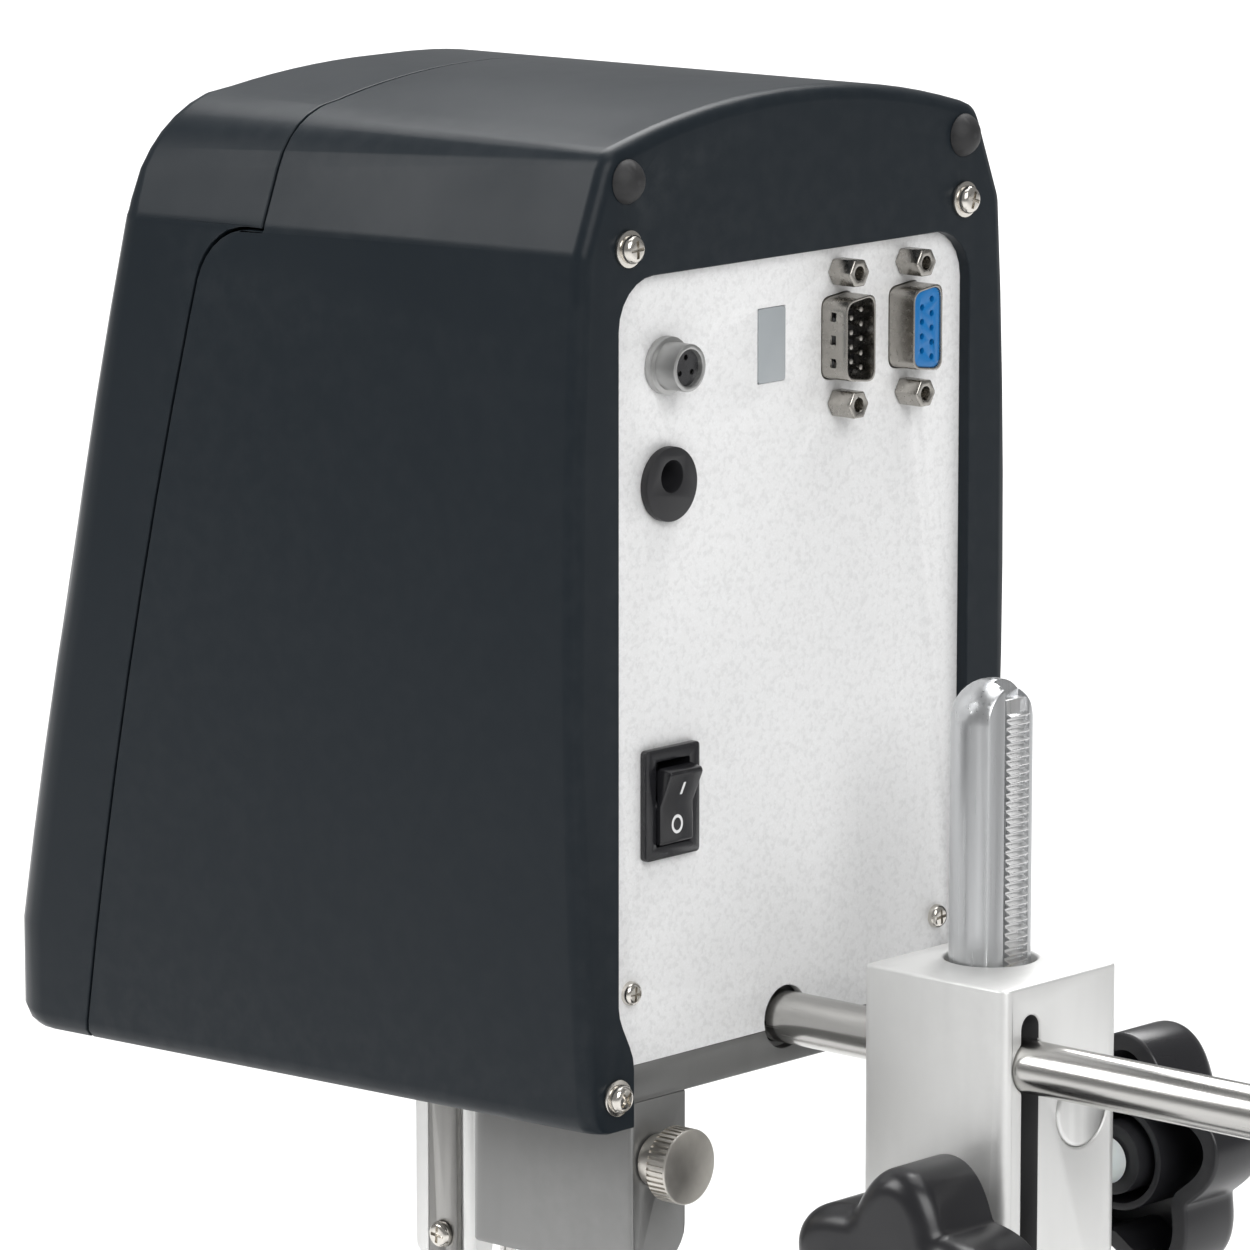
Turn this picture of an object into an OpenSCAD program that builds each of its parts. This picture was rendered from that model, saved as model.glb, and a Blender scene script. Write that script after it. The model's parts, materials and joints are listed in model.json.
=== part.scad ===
// Rotational viscometer: a measuring head on a rod, carried by a rack and pinion stand.
// The frame has its origin on the bench under the middle of the whole instrument, +Z up,
// with the display facing -Y and the socket panel facing +Y.
// Head pieces are drawn in the head's own frame: x from its middle plane, y from the rear
// face of the housing (rearwards positive) and z from the housing's lower edge.

/* [Head housing] */
// Height of the housing from its lower edge to the crown of the arch
head_h = 190.5; // [185:0.5:200]
// Half width of the housing where the bowed sides are widest
head_half_w = 62.7; // [61:0.1:66]
// Radius of the bowed side walls
side_bow_r = 1000; // [800:10:1500]
// Height at which the side walls are widest
side_bow_z = 93.5; // [85:0.5:100]
// Height of the crease line on the side walls
crease_z = 164.7; // [160:0.1:167]
// Half width of the arched top at its shoulders
shoulder_x = 53; // [50:0.5:55]
// Radius of the arched top
arch_r = 184; // [170:1:220]
// Depth of the housing at its foot
head_depth = 159.4; // [152:0.1:166]
// Height at which the front face is furthest out
front_foot_h = 9; // [5:0.5:20]
// Lean of the chin below that height in degrees
chin_lean = 20; // [0:1:25]
// Lean of the front face in degrees
front_lean = 13.8; // [10:0.1:16]
// Drop of the housing's lower edge from its rear to its front
foot_fall = 2.9; // [0:0.1:4]
// Drop of the crown from its rear to its front
crown_fall = 1.2; // [0:0.1:3]
// Rounding of the front edges along the sides
front_side_r = 12; // [8:0.1:13]
// Rounding of the front edges at the creases
crease_front_r = 6.6; // [4:0.1:10]
// Rounding of the front edge at the shoulders
shoulder_front_r = 4; // [3:0.1:12]
// Rounding of the front edge along the arched top
front_top_r = 10.5; // [8:0.5:24]
// Rounding of the lower edges
foot_edge_r = 4; // [3.5:0.5:5]
// Rounding around the rear face
rear_edge_r = 3; // [2:0.25:4]
// Wall of the moulded covers
cover_wall = 2.6; // [2:0.1:3]
// Gap between the two covers along their seam
seam_gap = 0.5; // [0.3:0.1:0.8]
// Depth of the front cover at its foot
front_foot_depth = 26.1; // [20:0.1:32]
// Lean of the seam in degrees
seam_lean = 13.1; // [10:0.1:14]
// Height of the step where the seam turns back
seam_step_z = 162.4; // [158:0.1:164]
// Depth from the foot of the front face back to the upper seam
front_top_depth = 78.2; // [72:0.1:84]
// Radius of the bend below the step
seam_bend_r = 14; // [8:1:18]

/* [Rear face] */
// Half width of the panel opening
opening_half_w = 50; // [47:0.5:51]
// Height of the upper edge of the panel opening
opening_top_z = 159.3; // [150:0.1:160]
// Corner radius of the panel opening
opening_r = 9.5; // [5:0.5:12]
// Half width between the toes of the frame legs
toe_half_w = 45.8; // [44:0.1:48]
// Thickness of the panel
panel_t = 2; // [1.5:0.1:3]
// Half width of the panel behind the frame
panel_half_w = 54; // [53:0.5:55]
// Height of the upper cover screws
screw_top_z = 165; // [163.5:0.1:166]
// Half spacing of the upper cover screws and plugs
screw_top_x = 47.9; // [46:0.1:49]
// Height of the lower cover screws
screw_low_z = 6.7; // [6:0.1:7.5]
// Half spacing of the lower cover screws
screw_low_x = 51; // [50:0.1:52]
// Height of the rubber plugs
plug_z = 177.3; // [176:0.1:178]
// Diameter of the rubber plugs
plug_d = 8.3; // [7:0.1:9]
// Radius of the cover screw shanks
cover_screw_r = 1.5; // [1.2:0.1:2]
// Diameter of the cover screw washers
washer_d = 7; // [6:0.1:8]
// Half spacing of the panel screws
panel_screw_x = 44.3; // [43:0.1:45]
// Height of the panel screws
panel_screw_z = 25; // [22:0.5:30]
// Middle of the rocker switch across the panel
switch_x = 34; // [32:0.5:36]
// Height of the rocker switch
switch_z = 60; // [50:0.5:70]
// Width of the rocker switch bezel
switch_w = 15; // [13:0.5:17]
// Height of the rocker switch bezel
switch_h = 21; // [20:0.5:23]
// Middle of the power jack across the panel
jack_x = 34.5; // [32:0.5:36]
// Height of the power jack
jack_z = 119.8; // [115:0.1:123]
// Diameter of the power jack flange
jack_d = 14; // [12:0.5:16]
// Diameter of the hole in the power jack
jack_hole_d = 6; // [5:0.1:6.5]
// Middle of the temperature socket across the panel
temp_x = 35; // [33:0.5:36]
// Height of the temperature socket
temp_z = 142; // [138:0.1:146]
// Diameter of the temperature socket's barrel
temp_d = 8.9; // [8:0.1:10]
// Length of the temperature socket in front of the panel
temp_len = 6.5; // [5:0.1:8]
// Middle of the printer port across the panel
print_x = -14; // [-16:0.5:-12]
// Middle of the computer port across the panel
pc_x = -33.6; // [-36:0.1:-32]
// Height of both ports
port_z = 141.9; // [140:0.1:143]
// Spacing of the jackscrews of a port
jackscrew_pitch = 25; // [24.5:0.1:26]
// Length of the port shells in front of the panel
port_len = 6; // [5:0.1:7]
// Middle of the grey window across the panel
window_x = 4.8; // [3:0.1:7]
// Height of the grey window
window_z = 142.4; // [138:0.1:145]

/* [Chassis and drive] */
// Thickness of the chassis plate
plate_t = 7.3; // [6:0.1:8]
// Height of the chassis plate's lower face
plate_z = 3.7; // [3:0.1:4.5]
// Distance of the spindle axis from the rear face
spindle_y = 75; // [72:0.5:78]
// Height of the motor deck's lower face
deck_z = 106; // [100:1:112]
// Thickness of the motor deck
deck_t = 4; // [3:0.5:6]
// Diameter of the drive motor
motor_d = 50; // [40:1:54]
// Length of the drive motor
motor_h = 38; // [30:1:42]
// Diameter of the two slotted discs
disc_d = 52; // [40:1:54]
// Radius of the spindle shaft
shaft_r = 2.5; // [2:0.1:3]
// Radial running clearance of shafts in their bearings
running_gap = 0.04; // [0.02:0.01:0.08]

/* [Spindle and guard] */
// Width of the guard mount between its two outer faces
guard_w = 35.8; // [34:0.1:40]
// Width of the guard mount's legs along Y
guard_leg_w = 16; // [15:0.5:18]
// Depth of the guard mount below the chassis plate
guard_drop = 48.2; // [44:0.1:54]
// Width of the guard strip
strip_w = 7.5; // [6:0.1:8.5]
// Thickness of the guard strip
strip_t = 1.5; // [1:0.1:2]
// Length of the guard below the housing
guard_len = 155; // [150:1:170]
// Diameter of the measuring spindle's cylinder
spindle_d = 18.8; // [12:0.1:22]
// Length of the measuring spindle's cylinder
spindle_h = 65; // [40:1:70]
// Middle of the probe clamp across the head
probe_x = 36; // [34:0.1:38]
// Width of the probe clamp
probe_w = 15.7; // [14:0.1:17]
// Depth of the probe clamp along Y
probe_depth = 43.5; // [40:0.5:46]
// Drop of the probe clamp below the chassis plate
probe_drop = 33.7; // [30:0.1:36]
// Radius of the vertical bore for the temperature probe
probe_bore_r = 2.5; // [2:0.1:3.5]
// Height of the thumb screw's axis
thumb_z = -8; // [-10:0.1:-6]
// Diameter of the thumb screw's knurled head
thumb_d = 14.4; // [12:0.1:15]
// Offset of the thumb screw from the middle of the probe clamp
thumb_offset = 1.7; // [0:0.1:2.5]

/* [Front face] */
// Width of the display window
lens_w = 84; // [76:1:90]
// Height of the display window
lens_h = 50; // [44:1:54]
// Height of the display window's middle, measured up the front face
lens_u = 86; // [82:1:90]
// Diameter of the keys
key_d = 12; // [10:0.5:13]
// Spacing of the keys
key_pitch = 18; // [16:0.5:20]
// Height of the key row, measured up the front face
key_u = 36; // [33:1:40]
// Travel of a key
key_travel = 1; // [0.8:0.1:1.5]

/* [Rod and column] */
// Diameter of the support rod
rod_d = 10; // [9:0.1:10.4]
// Height of the rod's axis in the head
rod_z = 12.8; // [12.4:0.1:13.2]
// Length of the rod inside the head
rod_in = 44; // [40:1:50]
// Length of the rod behind the housing
rod_out = 118; // [110:1:125]
// Offset of the rod's axis from the column's axis
rod_offset = 13.5; // [13.4:0.1:14.4]
// Diameter of the column
column_d = 15.8; // [15:0.1:16]
// Height of the column's top above the bench
column_top = 346.5; // [340:0.5:360]
// Distance of the column's flat from its axis
column_flat = 4.5; // [4:0.1:5]
// Distance of the column's axis behind the housing
column_y = 36.5; // [36:0.1:38]
// Module of the rack's teeth
tooth_module = 0.5; // [0.5:0.1:0.6]
// Width of the rack strip
rack_w = 5.4; // [5:0.1:5.6]
// Height of the rack strip's lower end above the bench
rack_z0 = 120; // [110:1:130]

/* [Carriage] */
// Width of the carriage block
block_w = 33.2; // [33:0.1:36]
// Depth of the carriage block
block_depth = 34.6; // [33:0.1:36]
// Height of the carriage block
block_h = 75; // [72:0.5:80]
// Distance from the column's axis to the block's face on the lift knob's side
block_left = 12.3; // [12:0.1:13]
// Distance from the column's axis to the block's front face
block_front = 13.7; // [13:0.1:14.5]
// Height of the block's top above the housing's lower edge
block_top = 28.2; // [28:0.1:31]
// Width of the clamping slit
slit_w = 5; // [4:0.1:5.5]
// Radial gap between the column and the block's through bore
column_gap = 0.25; // [0.2:0.05:0.3]
// Number of teeth on the pinion
pinion_teeth = 27; // [27:1:27]
// Drop of the pinion's axis below the housing's lower edge
pinion_drop = 13.5; // [13:0.1:14]
// Drop of the clamp screw's axis below the housing's lower edge
clamp_drop = 26.6; // [26.4:0.1:28]
// Distance of the clamp screw's axis behind the column's axis
clamp_y = 12.6; // [12.5:0.1:13]
// Radius of the clamp screw
clamp_screw_r = 4; // [3:0.1:4]
// Diameter of the plug in the block's rear face
bore_plug_d = 15; // [14:0.5:15.4]

/* [Knobs] */
// Radius of the lobed knobs over the lobes
knob_r = 24.4; // [22:0.1:26]
// Depth of the hollows between the lobes
knob_hollow = 6.4; // [4:0.1:7]
// Number of lobes
knob_lobes = 5; // [5:1:6]
// Thickness of the lobed knobs
knob_t = 17.5; // [16:0.5:20]
// Length of the nylon bush between the block and the lift knob
lift_bush_len = 10.2; // [9:0.1:12]
// Gap between the block and the clamp knob's hub
clamp_knob_gap = 0.8; // [0.5:0.1:1.5]

/* [Base] */
// Width of the base over its two front legs
base_w = 210; // [200:1:230]
// Depth of the base, which is also the depth of the whole instrument
base_depth = 300; // [296:1:310]
// Radius of the legs' rounded ends
leg_r = 19; // [18:0.5:21]
// Height of the base's underside above the bench
base_z = 16; // [15:0.5:18]
// Thickness of the base casting
base_t = 20; // [18:0.5:24]
// Height of the boss round the column's foot
boss_h = 10; // [8:0.5:12]
// Distance of the head's rear face behind the middle of the base
head_y = 30; // [28:0.5:31]
// Height of the housing's lower edge above the bench
head_z = 265; // [262:0.5:270]
// Radius of the levelling feet's studs
foot_stud_r = 4; // [3:0.1:5]
// Radius of the levelling feet's knurled discs
foot_r = 16; // [14:0.5:17]

/* [Hidden] */

// Circles of bores, pins and revolved pieces
$fn = 64;
// Overrun of a cut past the face that it starts from
cut = 1;
// Gap between neighbouring pieces that move against each other
side_gap = 0.3;
// Play of a stud in its hole within one body
stud_play = 0.05;

head_x = rod_offset;
column_at = [0, head_y + column_y];
plate_top = plate_z + plate_t;
panel_y = -cover_wall;
panel_back = panel_y - panel_t;
arch_z = head_h - arch_r;
shoulder_z = arch_z + sqrt(arch_r * arch_r - shoulder_x * shoulder_x);
pitch = PI * tooth_module;
pinion_pitch_r = pinion_teeth * tooth_module / 2;
rack_pitch_y = column_flat - tooth_module;
pinion_y = rack_pitch_y + pinion_pitch_r;
pinion_z = head_z - pinion_drop;
pinion_tip_r = pinion_pitch_r + 0.8 * tooth_module;
rack_x = -2.8;
plug_x = -1.9;
pinion_w = rack_w - 0.4;
block_right = block_w - block_left;
block_rear = block_depth - block_front;
block_z1 = head_z + block_top;
block_z0 = block_z1 - block_h;
bush_len = 7;
bush_wall = 0.8;
bush_mouth = 3;
foot_x = base_w / 2 - leg_r;
foot_y = base_depth / 2 - leg_r;
disc_z1 = 13;

// A point on the quadratic curve that rounds a corner
function bend(a, b, c, t) = (1 - t) * (1 - t) * a + 2 * t * (1 - t) * b + t * t * c;
function unit(v) = v / norm(v);
// Corners of a convex outline rounded to about radius r, in n steps each
function rounded(p, r, n = 5) = [
    for (i = [0 : len(p) - 1])
        let (a = p[(i + len(p) - 1) % len(p)], b = p[i], c = p[(i + 1) % len(p)],
             u = unit(a - b), v = unit(c - b),
             half = acos(u * v) / 2, t = r / tan(half))
        for (k = [0 : n]) bend(b + t * u, b, b + t * v, k / n)
];
function box_points(w, h) = [[-w / 2, -h / 2], [w / 2, -h / 2], [w / 2, h / 2], [-w / 2, h / 2]];
function arc_points(c, r, a0, a1, n) = [for (k = [0 : n]) c + r * [cos(a0 + (a1 - a0) * k / n),
                                                                  sin(a0 + (a1 - a0) * k / n)]];
// Direction that insets the corner between two walls by one unit
function miter(n1, n2) = (n1 + n2) / (1 + n1 * n2);

module at_head() { translate([head_x, head_y, head_z]) children(); }
module at_column() { translate([column_at[0], column_at[1], 0]) children(); }
// A child drawn upwards from the origin is turned to point rearwards, or to the right
module rearwards() { rotate([-90, 0, 0]) children(); }
module sideways() { rotate([0, 90, 0]) children(); }
// An outline drawn in x and z is extruded from y0 to y1
module slab(y0, y1) { translate([0, y1, 0]) rotate([90, 0, 0]) linear_extrude(y1 - y0) children(); }
module tube(r_out, r_in, h) {
    difference() {
        cylinder(r = r_out, h = h);
        translate([0, 0, -cut]) cylinder(r = r_in, h = h + 2 * cut);
    }
}
module hexagon(across, h) { cylinder(r = across / sqrt(3), h = h, $fn = 6); }
// A closed skin over rings that are symmetric about x = 0: right side up, left side down
module loft(rings) {
    n = len(rings[0]);
    m = n / 2;
    last = (len(rings) - 1) * n;
    sides = [for (k = [0 : len(rings) - 2]) for (i = [0 : n - 1])
        [k * n + i, k * n + (i + 1) % n, (k + 1) * n + (i + 1) % n, (k + 1) * n + i]];
    front = [for (i = [0 : m - 2]) [i, n - 1 - i, n - 2 - i, i + 1]];
    back = [for (i = [0 : m - 2]) [last + i, last + i + 1, last + n - 2 - i, last + n - 1 - i]];
    polyhedron([for (ring = rings) for (p = ring) p], concat(sides, front, back), convexity = 6);
}

// Housing outline
// Each entry is a point [x, z], its inset direction and the rounding of the front edge there
function side_x(z) = head_half_w - side_bow_r
    + sqrt(side_bow_r * side_bow_r - (z - side_bow_z) * (z - side_bow_z));
function side_normal(z) = unit([side_x(z) + side_bow_r - head_half_w, z - side_bow_z]);
seam_foot_y = head_depth - front_foot_depth;
seam_top_y = head_depth - front_top_depth;
function front_y(z) = -head_depth + max(0, z - front_foot_h) * tan(front_lean)
    + max(0, front_foot_h - z) * tan(chin_lean);
// Drop at the front of a point at height z, and the line of the front face in side view
function fall(z) = foot_fall + (crown_fall - foot_fall) * z / head_h;
face_low = [front_y(front_foot_h), front_foot_h - fall(front_foot_h)];
face_high = [front_y(shoulder_z), shoulder_z - fall(shoulder_z)];
face_lean = atan((face_high[0] - face_low[0]) / (face_high[1] - face_low[1]));
shoulder = [shoulder_x, shoulder_z];
arch_normal = unit([shoulder_x, shoulder_z - arch_z]);
crease_round = 1;
shoulder_rear_round = 3;
shoulder_front_round = 11;
crease_drop = 1;
side_steps = 9;
arch_steps = 8;
foot_corner = [side_x(foot_edge_r) - foot_edge_r, foot_edge_r];
function edge_r(z) = front_side_r + (crease_front_r - front_side_r) * max(0, (z - side_bow_z) / (crease_z - side_bow_z));
// Half a cross section, with its crease at height cz and its shoulder rounded over a length sr
function half_outline(cz, sr) =
    let (crease = [side_x(cz), cz], slope = unit(shoulder - crease), length = norm(shoulder - crease),
         chamfer_normal = [slope[1], -slope[0]])
    concat(
    [for (a = [-90 : 30 : -30]) [foot_corner + foot_edge_r * [cos(a), sin(a)], [1, 0], front_side_r, 1]],
    [for (k = [0 : side_steps]) let (z = foot_edge_r + (cz - crease_round - foot_edge_r) * k / side_steps)
        [[side_x(z), z], side_normal(z), edge_r(z), 0]],
    [for (t = [0.5, 1]) [bend(crease - [0, crease_round], crease, crease + crease_round * slope, t),
        miter(side_normal(cz), chamfer_normal), crease_front_r, 0]],
    [for (t = [0.35, 0.7]) [crease + t * (length - sr) * slope, chamfer_normal,
        crease_front_r + (shoulder_front_r - crease_front_r) * t, 0]],
    [for (t = [0 : 0.2 : 1]) [
        bend(shoulder - sr * slope, shoulder, shoulder + sr * [-arch_normal[1], arch_normal[0]], t),
        unit((1 - t) * chamfer_normal + t * arch_normal), shoulder_front_r, 0]],
    [for (k = [1 : arch_steps]) let (x = (shoulder_x - sr) * (1 - k / (arch_steps + 0.6)),
        n = unit([x, sqrt(arch_r * arch_r - x * x)]))
        [[0, arch_z] + arch_r * n, n, shoulder_front_r + (front_top_r - shoulder_front_r) * k / arch_steps, 0]]
);
front_half = half_outline(crease_z - crease_drop, shoulder_front_round);
rear_half = half_outline(crease_z, shoulder_rear_round);
function both_sides(ring) = concat(ring, [for (i = [len(ring) - 1 : -1 : 0]) [-ring[i][0], ring[i][1], ring[i][2]]]);
// Ring at angle a of the front rounding, inside the outer skin by wall; its foot is drawn out by drop
function front_ring(a, wall, drop) = both_sides([for (p = front_half)
    let (r = max(p[2] - wall, 0.6), d = wall + r * (1 - sin(a)), q = p[0] - d * p[1], z = q[1] - p[3] * drop)
    [q[0], front_y(max(z, 0)) + wall / cos(front_lean) + r * (1 - cos(a)), z - fall(z)]]);
function rear_ring(y, d, drop) = both_sides([for (p = rear_half)
    let (q = p[0] - d * p[1]) [q[0], y, q[1] - p[3] * drop]]);
outer_rings = concat(
    [for (a = [0 : 15 : 90]) front_ring(a, 0, 0)],
    [for (a = [90 : -30 : 0]) rear_ring(-rear_edge_r * (1 - cos(a)), rear_edge_r * (1 - sin(a)), 0)]
);
inner_rings = concat(
    [for (a = [0 : 30 : 90]) front_ring(a, cover_wall, 8)],
    [rear_ring(-cover_wall, cover_wall, 8)]
);
module housing_shell() {
    difference() {
        loft(outer_rings);
        loft(inner_rings);
    }
}
// Side view of the rear cover: everything behind the seam, less half the seam's gap
function seam_y(z) = -seam_foot_y + z * tan(seam_lean);
module behind_seam(g) {
    bend_c = [seam_y(seam_step_z - seam_bend_r) + g + seam_bend_r, seam_step_z - seam_bend_r - g];
    reach = head_h + 20;
    rotate([90, 0, 90]) translate([0, 0, -2 * head_half_w]) linear_extrude(4 * head_half_w) polygon(concat(
        [[seam_y(-20) + g, -20]],
        arc_points(bend_c, seam_bend_r, 180 - seam_lean, 90, 7),
        [[-seam_top_y + g, seam_step_z - g], [-seam_top_y + g, reach], [20, reach], [20, -20]]
    ));
}
// Opening for the panel, open at its foot, where the frame legs step inwards
module panel_opening() {
    toe_z = 11.5;
    leg_z = 23.5;
    steps = 6;
    toe = [for (k = [0 : steps]) let (t = k / steps)
        [toe_half_w + (opening_half_w - toe_half_w) * (3 - 2 * t) * t * t, toe_z + (leg_z - toe_z) * t]];
    corner = arc_points([opening_half_w - opening_r, opening_top_z - opening_r], opening_r, 0, 90, 6);
    right = concat([[toe_half_w, -20]], toe, corner);
    left = [for (i = [len(right) - 1 : -1 : 0]) [-right[i][0], right[i][1]]];
    slab(-cover_wall - 2, 5) polygon(concat(right, left));
}
module cover_screw_places() {
    for (s = [-1, 1]) {
        translate([s * screw_top_x, 0, screw_top_z]) children();
        translate([s * screw_low_x, 0, screw_low_z]) children();
    }
}
module plug_places() { for (s = [-1, 1]) translate([s * screw_top_x, 0, plug_z]) children(); }
plug_stem_r = 2.2;

// Frame of the leaning front face: x across, z up the face, -y out of it
module at_front(u) {
    translate([0, face_low[0], face_low[1]]) rotate([-face_lean, 0, 0]) translate([0, 0, u]) children();
}
key_stop_ring = 1;
board_y = 14;
board_t = 1.6;
board_w = 92;
board_h = 104;
board_u = 68;
boss_x = board_w / 2 - 5;
module board_corners() {
    for (s = [-1, 1]) for (e = [-1, 1]) translate([s * boss_x, 0, e * (board_h / 2 - 5)]) children();
}
lens_t = 1.6;
lens_border = 5;
lcd_t = 8;
module front_cover() {
    color("darkslategray") at_head() difference() {
        union() {
            difference() {
                housing_shell();
                behind_seam(-seam_gap / 2);
            }
            at_front(board_u) board_corners() translate([0, cover_wall - 0.4, 0]) rearwards()
                cylinder(r = 3, h = board_y - cover_wall + 0.4);
        }
        at_front(lens_u) {
            slab(-cut, lens_t + side_gap) polygon(rounded(box_points(lens_w, lens_h), 4));
            slab(-cut, cover_wall + cut) polygon(rounded(box_points(lens_w - 2 * lens_border, lens_h - 2 * lens_border), 2));
        }
        key_places() translate([0, -cut, 0]) rearwards() cylinder(d = key_d + 2 * side_gap, h = cover_wall + 2 * cut);
    }
}
module rear_cover() {
    color("darkslategray") at_head() difference() {
        intersection() {
            housing_shell();
            behind_seam(seam_gap / 2);
        }
        panel_opening();
        cover_screw_places() translate([0, -cover_wall - cut, 0]) rearwards()
            cylinder(r = cover_screw_r + stud_play, h = cover_wall + 2 * cut);
        plug_places() translate([0, -cover_wall - cut, 0]) rearwards()
            cylinder(r = plug_stem_r + stud_play, h = cover_wall + 2 * cut);
    }
}

// Rear panel and what it carries
panel_top = screw_top_z + 6;
port_w = 8.6;
port_h = 17;
port_wall = 0.5;
port_slant = 1;
// The D outline of a port, its wide side towards -x for s = -1
function port_outline(s, grow) = rounded([
    [s * (port_w / 2 + grow), port_h / 2 + grow], [-s * (port_w / 2 + grow), port_h / 2 - port_slant + grow],
    [-s * (port_w / 2 + grow), -port_h / 2 + port_slant - grow], [s * (port_w / 2 + grow), -port_h / 2 - grow]], 2.2);
board_stand = 9;
main_board_x = -16;
main_board_z = 104;
main_board_w = 62;
main_board_h = 62;
module main_board_corners() {
    for (s = [-1, 1]) for (e = [-1, 1])
        translate([main_board_x + s * (main_board_w / 2 - 4), 0, main_board_z + e * (main_board_h / 2 - 4)]) children();
}
module panel_screw_places() { for (s = [-1, 1]) translate([s * panel_screw_x, 0, panel_screw_z]) children(); }
rod_hole_r = rod_d / 2 + 1.1;
module rear_panel() {
    color("gainsboro") at_head() difference() {
        union() {
            slab(panel_back, panel_y) polygon(rounded([[-panel_half_w, plate_top], [panel_half_w, plate_top],
                [panel_half_w, panel_top], [-panel_half_w, panel_top]], 3));
            main_board_corners() translate([0, panel_back - board_stand, 0]) rearwards() cylinder(r = 2.5, h = board_stand + 0.5);
            for (s = [-1, 1]) translate([s * screw_top_x, panel_back - 4, screw_top_z]) rearwards() cylinder(r = 3.5, h = 4.5);
        }
        for (s = [-1, 1]) translate([s * screw_top_x, panel_back - 4 - cut, screw_top_z]) rearwards()
            cylinder(r = cover_screw_r + stud_play, h = 4 + panel_t + 2 * cut);
        plug_places() translate([0, panel_back - cut, 0]) rearwards() cylinder(r = plug_stem_r + 1, h = panel_t + 2 * cut);
        panel_screw_places() translate([0, panel_back - cut, 0]) rearwards()
            cylinder(r = 1.25 + stud_play, h = panel_t + 2 * cut);
        translate([0, panel_back - cut, rod_z]) rearwards() cylinder(r = rod_hole_r, h = panel_t + 2 * cut);
        translate([temp_x, panel_back - cut, temp_z]) rearwards() cylinder(d = temp_d - 1, h = panel_t + 2 * cut);
        translate([jack_x, panel_back - cut, jack_z]) rearwards() cylinder(d = jack_d - 3, h = panel_t + 2 * cut);
        translate([switch_x, 0, switch_z]) slab(panel_back - cut, panel_y + cut) square([switch_w - 2, switch_h - 2], center = true);
        translate([window_x, 0, window_z]) slab(panel_back - cut, panel_y + cut) square([7.8, 14.2], center = true);
        for (p = [[print_x, -1], [pc_x, -1]]) translate([p[0], 0, port_z]) {
            slab(panel_back - cut, panel_y + cut) polygon(port_outline(p[1], 0.2));
            for (e = [-1, 1]) translate([0, panel_back - cut, e * jackscrew_pitch / 2]) rearwards()
                cylinder(r = 1.5 + stud_play, h = panel_t + 2 * cut);
        }
    }
}
module port_shell(x) {
    at_head() translate([x, 0, port_z]) difference() {
        union() {
            slab(panel_back - 0.8, panel_back) polygon(rounded(box_points(12.5, jackscrew_pitch + 6), 2));
            slab(panel_back - 0.1, panel_y + port_len) polygon(port_outline(-1, 0));
        }
        slab(panel_back - cut - 0.8, panel_y + port_len + cut) polygon(port_outline(-1, -port_wall));
        for (e = [-1, 1]) translate([0, panel_back - 0.8 - cut, e * jackscrew_pitch / 2]) rearwards()
            cylinder(r = 1.5 + stud_play, h = 3);
    }
}
// Nine contacts: five on the wide side, four on the other
contact_pitch = 2.77;
module contact_places() {
    for (k = [-2 : 2]) translate([-1.42, 0, k * contact_pitch]) children();
    for (k = [-1.5 : 1.5]) translate([1.42, 0, k * contact_pitch]) children();
}
module print_port_shell() { color("silver") port_shell(print_x); }
module pc_port_shell() { color("silver") port_shell(pc_x); }
module print_port_insert() {
    color("black") at_head() translate([print_x, 0, port_z]) {
        slab(panel_back - board_stand + 0.5, panel_y + 0.8) polygon(port_outline(-1, -port_wall - stud_play));
        contact_places() translate([0, panel_y + 0.8, 0]) rearwards() cylinder(r = 0.5, h = 4, $fn = 16);
    }
}
module pc_port_insert() {
    color("dodgerblue") at_head() translate([pc_x, 0, port_z]) difference() {
        slab(panel_back - board_stand + 0.5, panel_y + port_len - 0.3) polygon(port_outline(-1, -port_wall - stud_play));
        contact_places() translate([0, panel_y + 1, 0]) rearwards() cylinder(r = 0.6, h = 8, $fn = 16);
    }
}
jackscrew_across = 5;
jackscrew_len = 5.6;
jackscrew_hole_r = 1.3;
module jackscrews() {
    color("silver") at_head() for (x = [print_x, pc_x]) for (e = [-1, 1])
        translate([x, panel_y, port_z + e * jackscrew_pitch / 2]) rearwards() difference() {
            union() {
                hexagon(jackscrew_across, jackscrew_len);
                translate([0, 0, -panel_t - 3]) cylinder(r = 1.5, h = panel_t + 3.2);
            }
            translate([0, 0, jackscrew_len - 5]) cylinder(r = jackscrew_hole_r, h = 5 + cut);
        }
}
module temp_socket() {
    color("silver") at_head() translate([temp_x, panel_y, temp_z]) rearwards() {
        difference() {
            union() {
                cylinder(d = temp_d + 1.9, h = 1.8);
                cylinder(d = temp_d, h = temp_len);
                translate([0, 0, -panel_t - 8]) cylinder(d = temp_d - 1.1, h = panel_t + 8.2);
            }
            translate([0, 0, temp_len - 5]) cylinder(d = temp_d - 2, h = 5 + cut);
        }
        difference() {
            translate([0, 0, temp_len - 5]) cylinder(d = temp_d - 2.1, h = 2.6);
            for (a = [90, 210, 330]) rotate([0, 0, a]) translate([1.9, 0, temp_len - 4.4]) cylinder(r = 0.55, h = 5, $fn = 16);
        }
    }
}
jack_hole_up = 1.5;
module dc_jack() {
    color("black") at_head() translate([jack_x, panel_y, jack_z]) rearwards() {
        difference() {
            union() {
                cylinder(d = jack_d, h = 1.8);
                translate([0, 0, -panel_t - 9]) cylinder(d = jack_d - 3.1, h = panel_t + 9.2);
            }
            translate([0, -jack_hole_up, -panel_t - 7]) cylinder(d = jack_hole_d, h = 20);
        }
        translate([0, -jack_hole_up, -panel_t - 7.1]) cylinder(r = 1, h = 7, $fn = 24);
    }
}
switch_lip = 1.6;
well_w = 9.3;
well_h = 16;
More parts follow.
